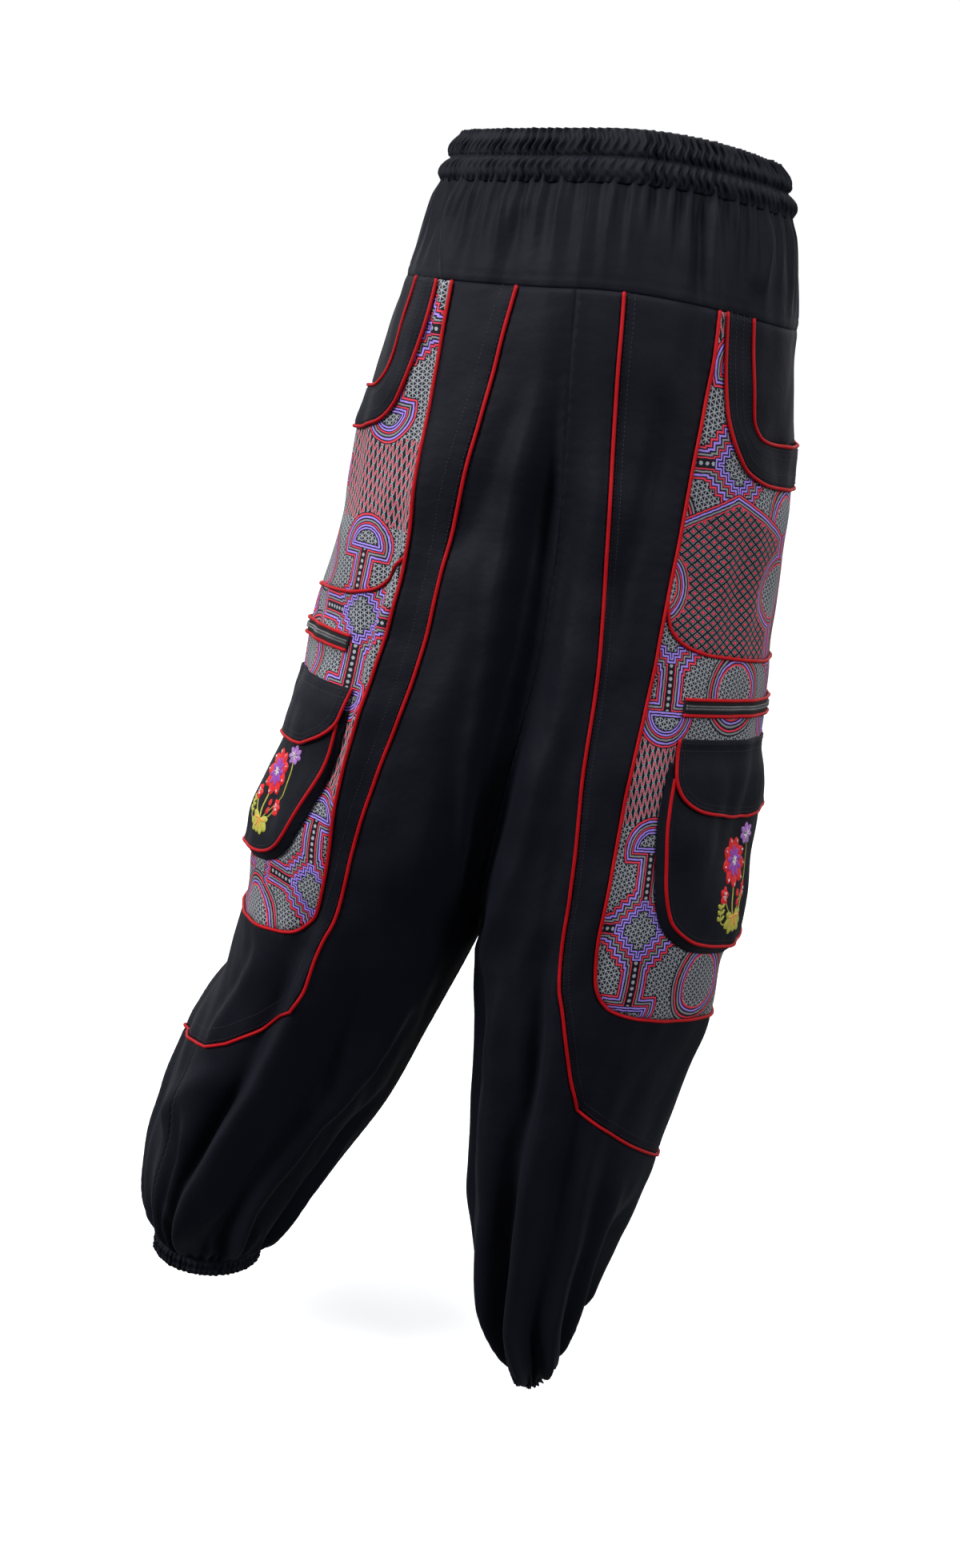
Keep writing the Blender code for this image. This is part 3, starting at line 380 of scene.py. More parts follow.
def halfOutline(name, side):
    own = {key: np.array(path) / 1000 for key, path in {**cuts["both"], **cuts[side]}.items()}
    if name == "side":
        edge = resampled(own["side"], edgeStep, True)
        return np.concatenate([edge[:-1], resampled(own["sideTip"], edgeStep, False)])
    if name == "upper":
        border = resampled(own["print"], edgeStep, True)
        start = np.interp(upperStart, border[:, 1], border[:, 0]), upperStart
        return resampled([start, *own["upper"]], edgeStep, True)
    return resampled(own[name], edgeStep, True)


frontArm = {"from": (0.0, 0.004), "to": (0.09, 0.17), "below": (0.56, 0.66), "slope": 0.2}


def outlineOf(name, side):                       # back, round the bottom, front
    half = halfOutline(name, side)
    place = pocket["place"][side] if name in ("flap", "cargo") else (0.0, 0.0)
    outline = np.concatenate([half * (-1, 1), half[-2::-1]]) + place
    if name == "side":                           # its front arm hangs flatter than the back one
        across, drop = outline.T
        ahead = (soft(across, *frontArm["from"]) * (1 - soft(across, *frontArm["to"]))
                 * soft(drop, *frontArm["below"]))
        outline[:, 1] += ahead * (drop.max() + frontArm["slope"] * across - drop)
    return outline


def grown(outline, reach):                       # an open outline moved outwards
    ahead = np.gradient(outline, axis=0)
    aside = unit(pairs(-ahead[:, 1], ahead[:, 0]))
    sign = np.sign(((outline - outline.mean(axis=0)) * aside).sum())
    return outline + aside * sign * reach


def trimmed(outline, ends):
    length = lengthsAlong(outline)
    return outline[(length >= ends) & (length <= length[-1] - ends)]


def closedTop(outline):
    top = resampled([outline[-1], outline[0]], edgeStep, False)
    return np.concatenate([outline, top[1:-1]])


def turnsLeft(rim):
    ahead = np.roll(rim, -1, axis=0)
    return (rim[:, 0] * ahead[:, 1] - rim[:, 1] * ahead[:, 0]).sum() > 0


def nearest(points, across, drop):               # distance to the nearest point, and its number
    tree = KDTree(len(points))
    for number, point in enumerate(points):
        tree.insert((point[0], point[1], 0.0), number)
    tree.balance()
    found = [tree.find((a, d, 0.0)) for a, d in zip(across, drop)]
    return np.array([f[2] for f in found]), np.array([f[1] for f in found])


Cloth = namedtuple("Cloth", "across drop triangles tags")


def cutCloth(side, rims, step):                  # triangles between the outlines, each tagged
    names = list(rims)
    rowSpace, edgeRoom = garment["rowSpace"], garment["edgeRoom"]
    low, high = rims[names[0]].min(axis=0), rims[names[0]].max(axis=0)
    grid = []
    for number, drop in enumerate(np.arange(low[1] + step, high[1], step * rowSpace)):
        for across in np.arange(low[0] + step * (0.25 + 0.5 * (number % 2)), high[0], step):
            grid.append((across, drop))
    away, _ = nearest(np.concatenate(list(rims.values())), *np.array(grid).T)
    points, faces = [], []
    for rim in rims.values():
        numbers = list(range(len(points), len(points) + len(rim)))
        faces.append(numbers if turnsLeft(rim) else numbers[::-1])
        points += [tuple(p) for p in rim]
    points += [p for p, d in zip(grid, away) if d > step * edgeRoom]
    places, _, triangles, _, _, inside = delaunay_2d_cdt(
        [Vector(p) for p in points], [], faces, 1, 1e-6, True)
    kept = [k for k, found in enumerate(inside) if 0 in found]
    tags = [frozenset(names[number] for number in inside[k]) for k in kept]
    triangles = np.array([tuple(triangles[k]) for k in kept])
    if side == right:
        triangles = triangles[:, ::-1]
    return Cloth(*np.array([tuple(p) for p in places]).T, triangles, tags)


def legRims(side):
    drops = np.linspace(yokeDrop, legEnd, round((legEnd - yokeDrop) / edgeStep) + 1)
    girths = sectionAt(side, drops).girth
    top = np.linspace(-girths[0], girths[0], round(2 * girths[0] / edgeStep) + 1)
    footStep = edgeStep / garment["footDensity"]
    foot = np.linspace(girths[-1], -girths[-1], round(2 * girths[-1] / footStep) + 1)
    rims = {"sheet": np.concatenate([pairs(top[:-1], yokeDrop), pairs(girths, drops)[:-1],
                                     pairs(foot[:-1], legEnd), pairs(-girths, drops)[:0:-1]])}
    for name in ("side", "print", "upper", "hipInner"):
        rims[name] = outlineOf(name, side)
    border, upper = rims["print"], rims["upper"]
    above = border[border[:, 1] < upper[0, 1]]
    half = len(above) // 2
    rims["upper"] = np.concatenate([above[:half], upper, above[half:]])
    return rims


def give(socket, value):
    if isinstance(value, Value):
        socket.id_data.links.new(value.socket, socket)
    else:
        socket.default_value = value


def newNode(tree, kind, inputs, **settings):     # its outputs, as values
    node = tree.nodes.new("ShaderNode" + kind)
    for name, setting in settings.items():
        setattr(node, name, setting)
    for name, value in inputs.items():
        give(node.inputs[name], value)
    return [Value(socket) for socket in node.outputs]


def sums(operation, *values):
    tree = next(value.socket.id_data for value in values if isinstance(value, Value))
    return newNode(tree, "Math", dict(enumerate(values)), operation=operation)[0]


class Value:                                     # a shader's value: sums on it make Math nodes
    def __init__(self, socket):
        self.socket = socket

    __add__ = lambda a, b: sums("ADD", a, b)
    __sub__ = lambda a, b: sums("SUBTRACT", a, b)
    __rsub__ = lambda a, b: sums("SUBTRACT", b, a)
    __mul__ = lambda a, b: sums("MULTIPLY", a, b)
    __truediv__ = lambda a, b: sums("DIVIDE", a, b)
    __gt__ = lambda a, b: sums("GREATER_THAN", a, b)
    __lt__ = lambda a, b: sums("LESS_THAN", a, b)
    __abs__ = lambda a: sums("ABSOLUTE", a)
    fold = lambda a, b: sums("PINGPONG", a, b)
    wave = lambda a: sums("SINE", a)


def least(*values):
    return reduce(lambda a, b: sums("MINIMUM", a, b), values)


def most(*values):
    return reduce(lambda a, b: sums("MAXIMUM", a, b), values)


def reach(a, b):                                 # length of (a, b)
    return sums("SQRT", a * a + b * b)


def box(x, y, halfX, halfY):
    return most(x - halfX, y - halfY)


def mix(share, a, b):
    return newNode(share.socket.id_data, "Mix", {0: share, 6: a, 7: b}, data_type="RGBA")[2]


def bands(value, span, places, colours):         # flat colours by distance
    node = value.socket.id_data.nodes.new("ShaderNodeValToRGB")
    ramp = node.color_ramp
    ramp.interpolation = "CONSTANT"
    while len(ramp.elements) < len(places):
        ramp.elements.new(1.0)
    for element, place, colour in zip(ramp.elements, places, colours.split()):
        element.position = place / span
        element.color = inks[colour]
    give(node.inputs[0], value / span)
    return Value(node.outputs[0])


def noise(vector, scale, detail):
    inputs = {"Vector": vector, "Scale": scale, "Detail": detail}
    return newNode(vector.socket.id_data, "TexNoise", inputs)[0]


def bump(height, strength, distance, under=None):
    inputs = {"Height": height, "Strength": strength, "Distance": distance}
    if under:
        inputs["Normal"] = under
    return newNode(height.socket.id_data, "Bump", inputs)[0]


def uvOf(tree, name):                            # the vector and its two parts
    vector = newNode(tree, "UVMap", {}, uv_map=name)[0]
    return vector, *newNode(tree, "SeparateXYZ", {0: vector})[:2]


def newMaterial(name, roughness, specular, paint, more=()):
    made = bpy.data.materials.new(name)
    made.use_nodes = True
    colour, normal = paint(made.node_tree)
    inputs = {"Roughness": roughness, "Specular IOR Level": specular, "Sheen Roughness": 0.45,
              "Base Color": colour, "Normal": normal}
    inputs.update(more)
    for label, value in inputs.items():
        give(made.node_tree.nodes["Principled BSDF"].inputs[label], value)
    return made


# the weave's strength and distance; wrinkles by the scale of their noise, strength, distance
blackCloth = {"colour": (0.0036, 0.0039, 0.0070, 1), "worn": (0.0060, 0.0064, 0.0105, 1),
              "cloudScale": 9.0, "cloudGain": 1.6, "cloudCut": 0.3,
              "lint": (0.16, 0.16, 0.17, 1), "lintScale": 16.0, "lintSize": 0.0075,
              "slubScale": 900.0, "slubShare": 0.62, "slubDepth": 0.35,
              "pitch": 0.00062, "weave": (0.22, 0.00010),
              "wrinkles": [(42.0, 0.40, 0.0028), (160.0, 0.35, 0.0006)]}


def weaveBump(u, v):                             # over and under, thread by thread
    turn = 2 * math.pi / blackCloth["pitch"]
    return bump((u * turn).wave() * (v * turn).wave() * 0.5 + 0.5, *blackCloth["weave"])


def blackPaint(tree):
    b = blackCloth
    vector, u, v = uvOf(tree, "cloth")
    cloudy = noise(vector, b["cloudScale"], 3.0) * b["cloudGain"] - b["cloudCut"]
    colour = mix(cloudy, b["colour"], b["worn"])
    slub = noise(vector, b["slubScale"], 2.0) > b["slubShare"]
    colour = mix(slub * b["slubDepth"], colour, b["worn"])
    specks = newNode(tree, "TexVoronoi", {"Vector": vector, "Scale": b["lintScale"]})[0]
    colour = mix(specks < b["lintSize"], colour, b["lint"])
    normal = weaveBump(u, v)
    for scale, strength, distance in b["wrinkles"]:
        normal = bump(noise(vector, scale, 3.0), strength, distance, normal)
    return colour, normal


inks = {"black": (0.0060, 0.0058, 0.0115, 1), "red": (0.80, 0.045, 0.085, 1),
        "violet": (0.37, 0.25, 0.82, 1), "grey": (0.25, 0.265, 0.275, 1),
        "paleGrey": (0.38, 0.40, 0.42, 1), "dimGrey": (0.12, 0.13, 0.14, 1)}
# the print, in millimetres, mirrored about its main cross
printDesign = {"halfWide": 75.0, "halfTall": 120.0, "bar": 3.6, "barEnd": 62.0, "armEnd": 56.0,
               "steps": [(5.0, 25.0), (10.0, 20.5), (15.5, 15.5), (20.5, 10.0), (25.0, 5.0)],
               "farSteps": [(17.0, 4.0), (9.0, 11.0)], "coreLines": 5.6,
               "boatRadius": 19.0, "boatPlace": 64.0, "boatCut": 2.0, "dotSpace": 5.2, "dotSize": 1.55,
               "archX": 75.0, "archY": 45.0, "archRadius": 22.0, "archReach": 14.5, "starPitch": 3.9,
               "scrollWide": 5.6, "scrollTall": 8.4, "scrollSwing": 2.5, "scrollLean": 0.38,
               "scrollSlip": 0.34, "scrollsBelow": 84.0, "scrollsWithin": 50.0, "linesReach": 9.2,
               "zigStart": 3.0, "zigWave": (3.6, 1.3), "zigReach": (-4.0, 1.8), "zigAbove": 15.0,
               "discY": 96.0, "discRadius": 21.0, "discLines": 5.2, "discRoom": 12.0,
               "gableTop": 30.0, "gableSlope": 0.42, "fieldEnd": 150.0, "fieldSide": 66.0,
               "diamondWide": 10.2, "diamondTall": 7.4,
               "wobbleScale": 260.0, "cloudScale": 14.0, "cloudDepth": 0.28,
               "wrinkle": (150.0, 0.25, 0.0005)}


def outerLines(away):
    return bands(away, printDesign["linesReach"], (0, 0.9, 1.9, 3.2, 4.5, 6, 7, 8.3),
                 "red black grey black violet black red black")


def starField(x, y):                             # grey stars where three sets of lines cross
    space = printDesign["starPitch"]
    turns = [math.radians(angle) for angle in (10, 70, 130)]
    away = least(*((x * (math.cos(turn) / space) + y * (math.sin(turn) / space)).fold(0.5)
                   for turn in turns)) * space
    return bands(away, 2.0, (0, 0.27, 0.52), "paleGrey dimGrey black")


def diamondField(x, y):                          # red lozenges in a grey net
    x, y = x / printDesign["diamondWide"], y / printDesign["diamondTall"]
    net = abs(sums("FRACT", x) - 0.5) + abs(sums("FRACT", y) - 0.5)
    return bands(least(net, 1.0 - net), 0.5, (0, 0.195, 0.28, 0.36), "red black grey black")


def scrollField(x, y):                           # rows of grey loops, drawn round a red line
    d = printDesign
    cosine, sine = math.cos(d["scrollLean"]), math.sin(d["scrollLean"])
    across, down = x * cosine - y * sine, x * sine + y * cosine
    local = down - sums("ROUND", down / d["scrollTall"]) * d["scrollTall"]
    turn = 2 * math.pi / d["scrollWide"]
    phase = across * turn + local * d["scrollSlip"]
    slope = sums("COSINE", phase) * (turn * d["scrollSwing"])
    away = abs(local - phase.wave() * d["scrollSwing"]) / reach(slope, 1.15)
    return bands(away, 3.0, (0, 0.38, 0.55, 1.05), "red black paleGrey black")


def printPaint(tree, withDiamonds):
    d = printDesign
    vector, u, v = uvOf(tree, "print")
    wobble = noise(vector, d["wobbleScale"], 1.0) - 0.5
    rawX, rawY = u * 1000.0 + wobble, v * 1000.0 + wobble
    x, y = rawX.fold(d["halfWide"]), rawY.fold(d["halfTall"])
    stars = starField(rawX, rawY)

    boat = most(reach(x, y - d["boatPlace"]) - d["boatRadius"], d["boatPlace"] - d["boatCut"] - y)
    farX, farY = d["halfWide"] - x, d["halfTall"] - y
    core = least(*(box(x, y, *half) for half in d["steps"]), boat,
                 *(box(farX, farY, *half) for half in d["farSteps"]))
    away = least(core, box(x, y, d["bar"], d["barEnd"]), box(x, y, d["armEnd"], d["bar"]))
    arch = reach(x - d["archX"], y - d["archY"]) - d["archRadius"]
    archLines = bands(arch, 18.0, (0, 1.5, 2.7, 4.2, 5.6, 7.2, 9, 10.5, 11.6, 13),
                      "red black violet black grey black red black grey black")
    colour = mix((arch > 0.0) * (arch < d["archReach"]), stars, archLines)
    scrolls = (y > d["scrollsBelow"]) * (x < d["scrollsWithin"])
    colour = mix(scrolls, colour, scrollField(rawX, rawY))

    colour = mix(away < d["linesReach"], colour, outerLines(away))
    dotX, dotY = (value - sums("ROUND", value / d["dotSpace"]) * d["dotSpace"] for value in (x, y))
    dots = most(reach(x, dotY) < d["dotSize"], reach(dotX, y) < d["dotSize"])
    colour = mix(away < 0.0, colour, mix(dots, inks["black"], inks["paleGrey"]))
    inward = core * -1.0
    coreLines = bands(inward, 8.0, (0, 0.9, 2.2, 3.3, 4.5), "black violet black violet black")
    colour = mix(inward > 0.0, colour, mix(inward > d["coreLines"], coreLines, stars))

    pitch, height = d["zigWave"]
    zig = x - (d["armEnd"] + d["zigStart"]) - y.fold(pitch) * height
    low, high = d["zigReach"]
    zigLines = bands(zig - low, 8.0, (0, 1.5, 2.6, 4.2), "red black violet black")
    colour = mix((zig > low) * (zig < high) * (y < d["zigAbove"]), colour, zigLines)

    if withDiamonds:                             # lozenges under a gable, round starry discs
        disc = reach(x - d["archX"], rawY - d["discY"])
        field = most(x * d["gableSlope"] + d["gableTop"] - rawY, rawY - d["fieldEnd"],
                     x - d["fieldSide"], d["discRadius"] + d["discRoom"] - disc)
        colour = mix(field < d["linesReach"], colour, outerLines(field))
        colour = mix(field < 0.0, colour, diamondField(rawX, rawY))
        discLines = bands(disc - d["discRadius"], 6.0, (0, 1.2, 2.2, 3.4, 4.4),
                          "red black grey black red")
        colour = mix(disc < d["discRadius"] + d["discLines"], colour, discLines)
        colour = mix(disc < d["discRadius"], colour, stars)

    colour = mix(noise(vector, d["cloudScale"], 2.0) * d["cloudDepth"], colour, inks["black"])
    _, clothU, clothV = uvOf(tree, "cloth")
    scale, strength, distance = d["wrinkle"]
    return colour, bump(noise(vector, scale, 3.0), strength, distance, weaveBump(clothU, clothV))


cordCotton = {"dark": (0.29, 0.0018, 0.004, 1), "bright": (0.43, 0.0032, 0.008, 1),
              "patchScale": 120.0, "pitch": 0.0009, "bump": (0.25, 0.00008)}


def cordPaint(tree):                             # cotton bias strip drawn round a cord
    vector, u, v = uvOf(tree, "cloth")
    colour = mix(noise(vector, cordCotton["patchScale"], 2.0), cordCotton["dark"], cordCotton["bright"])
    slant = ((u + v) * (2 * math.pi / cordCotton["pitch"])).wave()
    return colour, bump(slant, *cordCotton["bump"])


# the strands' pitch, how far the grooves between them are darkened as painted shade, and their bump
silk = {"pitch": 0.00055, "shade": 0.62, "bump": (0.8, 0.0002)}


def threadPaint(tree, colour):                   # satin stitch, with painted light and shade: the colour is lighter on each strand's crest and darker in the grooves between strands
    _, u, _ = uvOf(tree, "cloth")
    strand = (u * (2 * math.pi / silk["pitch"])).wave() * 0.5 + 0.5
    return mix(strand, darker(colour, silk["shade"]), colour), bump(strand, *silk["bump"])


plain = {"grainScale": 700.0, "shade": 0.7, "bump": (0.2, 0.0002)}


def plainPaint(tree, colour):
    place = newNode(tree, "TexCoord", {})[3]     # from the object itself
    grain = noise(place, plain["grainScale"], 2.0)
    return mix(grain, darker(colour, plain["shade"]), colour), bump(grain, *plain["bump"])


def darker(colour, share):
    return *(part * share for part in colour[:3]), 1


def plainMaterial(name, colour, roughness, specular, more=()):
    return newMaterial(name, roughness, specular, lambda tree: plainPaint(tree, colour), more)


black = newMaterial("blackCotton", 0.62, 0.09, blackPaint,
                    {"Sheen Weight": 0.022, "Sheen Tint": (0.55, 0.62, 0.85, 1)})
upperPrint = newMaterial("printedCottonUpper", 0.66, 0.16, lambda tree: printPaint(tree, True),
                         {"Sheen Weight": 0.02})
lowerPrint = newMaterial("printedCottonLower", 0.66, 0.16, lambda tree: printPaint(tree, False),
                         {"Sheen Weight": 0.02})
redCord = newMaterial("redPiping", 0.55, 0.14, cordPaint)
zipTape = plainMaterial("zipTape", (0.0075, 0.0080, 0.0105, 1), 0.7, 0.2)
zipMetal = plainMaterial("zipMetal", (0.13, 0.13, 0.135, 1), 0.40, 0.6, {"Metallic": 0.5})
blackThread = plainMaterial("blackThread", (0.0125, 0.0135, 0.0195, 1), 0.5, 0.3)
threads = {}
for label, colour in {"red": (0.78, 0.006, 0.010, 1), "purple": (0.30, 0.055, 0.43, 1),
                      "white": (0.78, 0.74, 0.72, 1), "green": (0.50, 0.48, 0.06, 1),
                      "lavender": (0.47, 0.20, 0.62, 1), "orange": (0.85, 0.34, 0.07, 1)}.items():
    threads[label] = newMaterial(label + "Thread", 0.45, 0.3,
                                 lambda tree: threadPaint(tree, colour))
print("materials made")


def placed(name, data):
    made = bpy.data.objects.new(name, data)
    bpy.context.scene.collection.objects.link(made)
    return made


def makePiece(name, points, faces, material, uv, printUv=None, slot="black_cotton"):
    mesh = bpy.data.meshes.new(name)
    mesh.from_pydata(points.tolist(), [], faces if isinstance(faces, list) else faces.tolist())
    for label, places in (("cloth", uv), ("print", printUv)):
        if places is not None:
            layer = mesh.uv_layers.new(name=label)
            corners = np.empty(len(mesh.loops), int)
            mesh.loops.foreach_get("vertex_index", corners)
            layer.data.foreach_set("uv", places[corners].ravel())
    mesh.materials.append(material)
    mesh.shade_smooth()
    made = placed(name, mesh)
    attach(made, "root")
    return made


def thicken(piece, thickness=garment["thickness"]):
    wall = piece.modifiers.new("wall", "SOLIDIFY")
    wall.thickness = thickness
    wall.offset = -1.0
    wall.use_even_offset = False


def nodeOf(name):                                # leftHipBand stands for left_hip_band
    return re.sub("([A-Z])", r"_\1", name).lower()


# strips that run down, round and up again are laid straight, a little wider for the bends
strips = {"Side": 1.45, "HipBand": 0.33}
stripSpare = 1.05


def sewnPiece(side, label, points, places, faces, material, thickness=garment["thickness"],
              printUv=None, slot="black_cotton", onIt=()):
    piece = makePiece(sideName[side] + label, points, faces, material, places, printUv, slot)
    thicken(piece, thickness)
    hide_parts(nodeOf(piece.name))
    if label == "Front":
        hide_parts(nodeOf(piece.name) + "_lower")
    a, b, c = (places[faces[:, k]] for k in range(3))
    ab, ac = b - a, c - a
    area = float(np.abs(ab[:, 0] * ac[:, 1] - ab[:, 1] * ac[:, 0]).sum() / 2)
    flat = tuple(float(size) for size in np.ptp(places, axis=0))
    if label in strips:
        flat = (area / strips[label] * stripSpare, strips[label])
    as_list(onIt)


# where each print's main cross lies, and how its stripes lean
printPlace = {"leftPrintUpper": (-0.087, 0.120, 0.05), "leftPrintLower": (-0.110, 0.352, 0.16),
              "rightPrintUpper": (-0.078, 0.188, -0.05), "rightPrintLower": (-0.112, 0.560, -0.06)}


def printUvOf(name, across, drop):
    x, y, lean = printPlace[name]
    return pairs(across - x + lean * (drop - y), drop - y)


pucker = {"dip": 0.0008, "dipWidth": 0.0028, "height": 0.00036, "length": 0.0105, "reach": 0.0055,
          "start": 0.004, "footShare": 0.62, "wander": 2.0, "wanderTurn": 0.11, "patchTurn": 0.047}


def seamRelief(side, across, drop):              # the cloth dips at a seam, and puckers beside it
    lines = [outlineOf(name, side) for name in ("side", "print", "upper", "hipInner")]
    drops = np.arange(yokeDrop, legEnd, edgeStep)
    girths = sectionAt(side, drops).girth
    top = np.arange(-girths[0], girths[0], edgeStep)
    lines += [pairs(girths, drops), pairs(-girths, drops), pairs(top, yokeDrop),
              pairs(top * pucker["footShare"], legEnd)]
    away, number = nearest(np.concatenate(lines), across, drop)
    ripple = np.sin(number * edgeStep * 2 * math.pi / pucker["length"]
                    + pucker["wander"] * np.sin(number * pucker["wanderTurn"]))
    ripple *= 0.5 + 0.5 * np.sin(number * pucker["patchTurn"])
    beside = np.exp(-away / pucker["reach"]) * np.clip(away / pucker["start"], 0, 1)
    return (pucker["height"] * ripple * beside
            - pucker["dip"] * np.exp(-(away / pucker["dipWidth"]) ** 2))


def usedOnly(triangles):                         # the points that are used, and the triangles on them
    used, flat = np.unique(triangles, return_inverse=True)
    return used, flat.reshape(triangles.shape)


def panelOf(tags, across):
    for tag, panel in (("hipInner", "HipPanel"), ("upper", "PrintUpper"), ("print", "PrintLower"),
                       ("side", "Side")):
        if tag in tags:
            return panel
    return "Back" if across < 0 else "Front"


def legPanels(side):
    cloth = cutCloth(side, legRims(side), garment["meshStep"])
    relief = seamRelief(side, cloth.across, cloth.drop)
    points, _ = onCloth(side, cloth.across, cloth.drop, relief)
    panels = np.array([panelOf(tags, cloth.across[corners].mean())
                       for tags, corners in zip(cloth.tags, cloth.triangles)])
    prints = {"PrintUpper": upperPrint if side == right else lowerPrint, "PrintLower": lowerPrint}
    for label in ("Back", "Front", "Side", "HipPanel", "PrintUpper", "PrintLower"):
        used, faces = usedOnly(cloth.triangles[panels == label])
        across, drop = cloth.across[used], cloth.drop[used]
        cotton = {"material": black}
        if label in prints:
            cotton = {"material": prints[label], "slot": "printed_cotton",
                      "printUv": printUvOf(sideName[side] + label, across, drop)}
        sewnPiece(side, label, points[used], pairs(across, drop), faces, **cotton)
    print(sideName[side], "panels cut:", len(cloth.triangles), "triangles")


laid = {"step": 0.0032, "thickness": 0.0013}


def laidPiece(side, label, rims, lift, material=None, step=laid["step"], **more):
    cloth = cutCloth(side, rims, step)
    used, faces = usedOnly(cloth.triangles[["inner" not in tags for tags in cloth.tags]])
    across, drop = cloth.across[used], cloth.drop[used]
    edge, _ = nearest(np.concatenate(list(rims.values())), across, drop)
    points, _ = onCloth(side, across, drop, lift(across, drop, edge))
    more.setdefault("thickness", laid["thickness"])
    sewnPiece(side, label, points, pairs(across, drop), faces, material or black, **more)


hipBand = {"base": 0.0016, "rise": 0.0009, "edge": 0.006, "wave": 0.0003, "waves": 160}
pocket = {"place": {left: (-0.011, 0.002), right: (0.009, -0.008)}, "gusset": 0.008,
          "stand": 0.0052, "ramp": (0.425, 0.50), "base": 0.0016, "rise": 0.0024,
          "crown": 0.0012, "crownEdge": 0.045, "crownOver": (0.43, 0.52),
          "sag": 0.0012, "sagWaves": (70, 55), "sagEdge": (0.01, 0.03), "step": 0.0026}
flap = {"sewn": 0.0030, "sewnOver": (0.410, 0.436), "flare": 0.0012, "flareOver": (0.430, 0.475),
        "crown": 0.0012, "crownEdge": 0.02, "crownOver": (0.412, 0.44), "under": 0.0004,
        "step": 0.0028, "thickness": 0.0018}


def pocketRise(drop):
    return pocket["rise"] + pocket["stand"] * soft(drop, *pocket["ramp"])


def pocketLift(across, drop, edge):
    wall = soft(edge, 0.0, pocket["gusset"])
    crown = pocket["crown"] * soft(edge, pocket["gusset"], pocket["crownEdge"])
    waveA, waveD = pocket["sagWaves"]
    sag = pocket["sag"] * np.sin(across * waveA + 1.0) * np.sin(drop * waveD)
    return (pocket["base"] + wall * (pocketRise(drop) - pocket["base"])
            + (crown + sag * soft(edge, *pocket["sagEdge"])) * soft(drop, *pocket["crownOver"]))


def flapLift(across, drop, edge):
    flare = flap["flare"] * soft(drop, *flap["flareOver"])
    crown = flap["crown"] * soft(edge, 0.0, flap["crownEdge"]) * soft(drop, *flap["crownOver"])
    sewn = flap["sewn"] * soft(drop, *flap["sewnOver"])
    return pocketRise(drop) - flap["under"] + sewn + flare + crown


def bandLift(across, drop, edge):
    return (hipBand["base"] + hipBand["rise"] * soft(edge, 0.0, hipBand["edge"])
            + hipBand["wave"] * np.sin(drop * hipBand["waves"]))


def joined(name, parts, material, slot=None):    # small shapes as one piece: points, faces, uv
    counts = np.cumsum([0] + [len(part[0]) for part in parts])
    faces = np.concatenate([part[1] + start for part, start in zip(parts, counts)])
    points, uv = (np.concatenate([part[k] for part in parts]) for k in (0, 2))
    return makePiece(name, points, faces, material, uv, slot=slot)


blockFaces = np.array([[4, 5, 6, 7], [0, 4, 7, 3], [1, 2, 6, 5], [0, 1, 5, 4], [3, 7, 6, 2],
                       [0, 3, 2, 1]])
blockCorners = [(-0.5, -0.5), (0.5, -0.5), (0.5, 0.5), (-0.5, 0.5)]
blockLevels = [(-0.3, 1.0), (1.0, 0.72)]         # height, and size there


def blocks(side, path, lift, size, pitch):       # small blocks along a line on the cloth
    length, width, high = size
    across, drop = resampled(path, pitch, False).T
    centres, normals = onCloth(side, across, drop, lift(across, drop))
    ahead = unit(np.gradient(centres, axis=0))
    aside = np.cross(normals, ahead)
    points = [centres + ahead * a * length * grow + aside * b * width * grow + normals * level * high
              for level, grow in blockLevels for a, b in blockCorners]
    points = np.stack(points, axis=1).reshape(-1, 3)
    faces = (blockFaces[None] + 8 * np.arange(len(across))[:, None, None]).reshape(-1, 4)
    return points, faces, np.zeros((len(points), 2))


topstitch = {"size": (0.0021, 0.00046, 0.00022), "pitch": 0.0029, "piping": 0.0032,
             "beside": {left: 0.012, right: 0.008},
             "hipOuter": (-0.004, -0.010), "hipInner": (0.0036, 0.0100),
             "flap": (0.0036, 0.0075), "flapSides": (0.003, 0.009), "flapTop": 0.004,
             "cargo": 0.0042, "cargoEnds": 0.045, "fromFlapEdge": 0.005, "fromGusset": 0.004}


def topstitching(side):
    t = topstitch
    onPanel = lambda a, d: seamRelief(side, a, d)
    onBand = lambda a, d: bandLift(a, d, hipBand["edge"])
    onFlap = lambda a, d: flapLift(a, d, t["fromFlapEdge"])
    onCargo = lambda a, d: pocketLift(a, d, pocket["gusset"] + t["fromGusset"])
    border, edge, cargo = (outlineOf(name, side) for name in ("side", "flap", "cargo"))
    lines = [(grown(border, -space), onPanel) for space in (t["beside"][side], t["piping"])]
    lines += [(grown(outlineOf(name, side), space), onBand)
              for name in ("hipOuter", "hipInner") for space in t[name]]
    lines += [(trimmed(grown(edge, -space), t["flapTop"]), onFlap) for space in t["flap"]]
    lines += [(np.array([edge[0] + (t["flapTop"], space), edge[-1] + (-t["flapTop"], space)]), onFlap)
              for space in t["flapSides"]]
    lines.append((trimmed(grown(cargo, -t["cargo"]), t["cargoEnds"]), onCargo))
    parts = [blocks(side, resampled(path, t["pitch"], False), lift, t["size"], t["pitch"])
             for path, lift in lines]
    joined(sideName[side] + "Topstitching", parts, blackThread, "black_cotton")


zipper = {"reach": 0.108, "top": 0.371, "bottom": 0.384, "step": 0.003, "tapeLift": 0.0017,
          "teethShort": 0.002, "lift": 0.0019,
          "tooth": (0.0009, 0.0026, 0.0011), "toothPitch": 0.0016, "apart": 0.0011,
          "sliderShort": 0.008, "slider": (0.0095, 0.0068, 0.0030),
          "pull": (0.0150, 0.0042, 0.0008), "pullBack": 0.010, "pullLift": 0.0046}


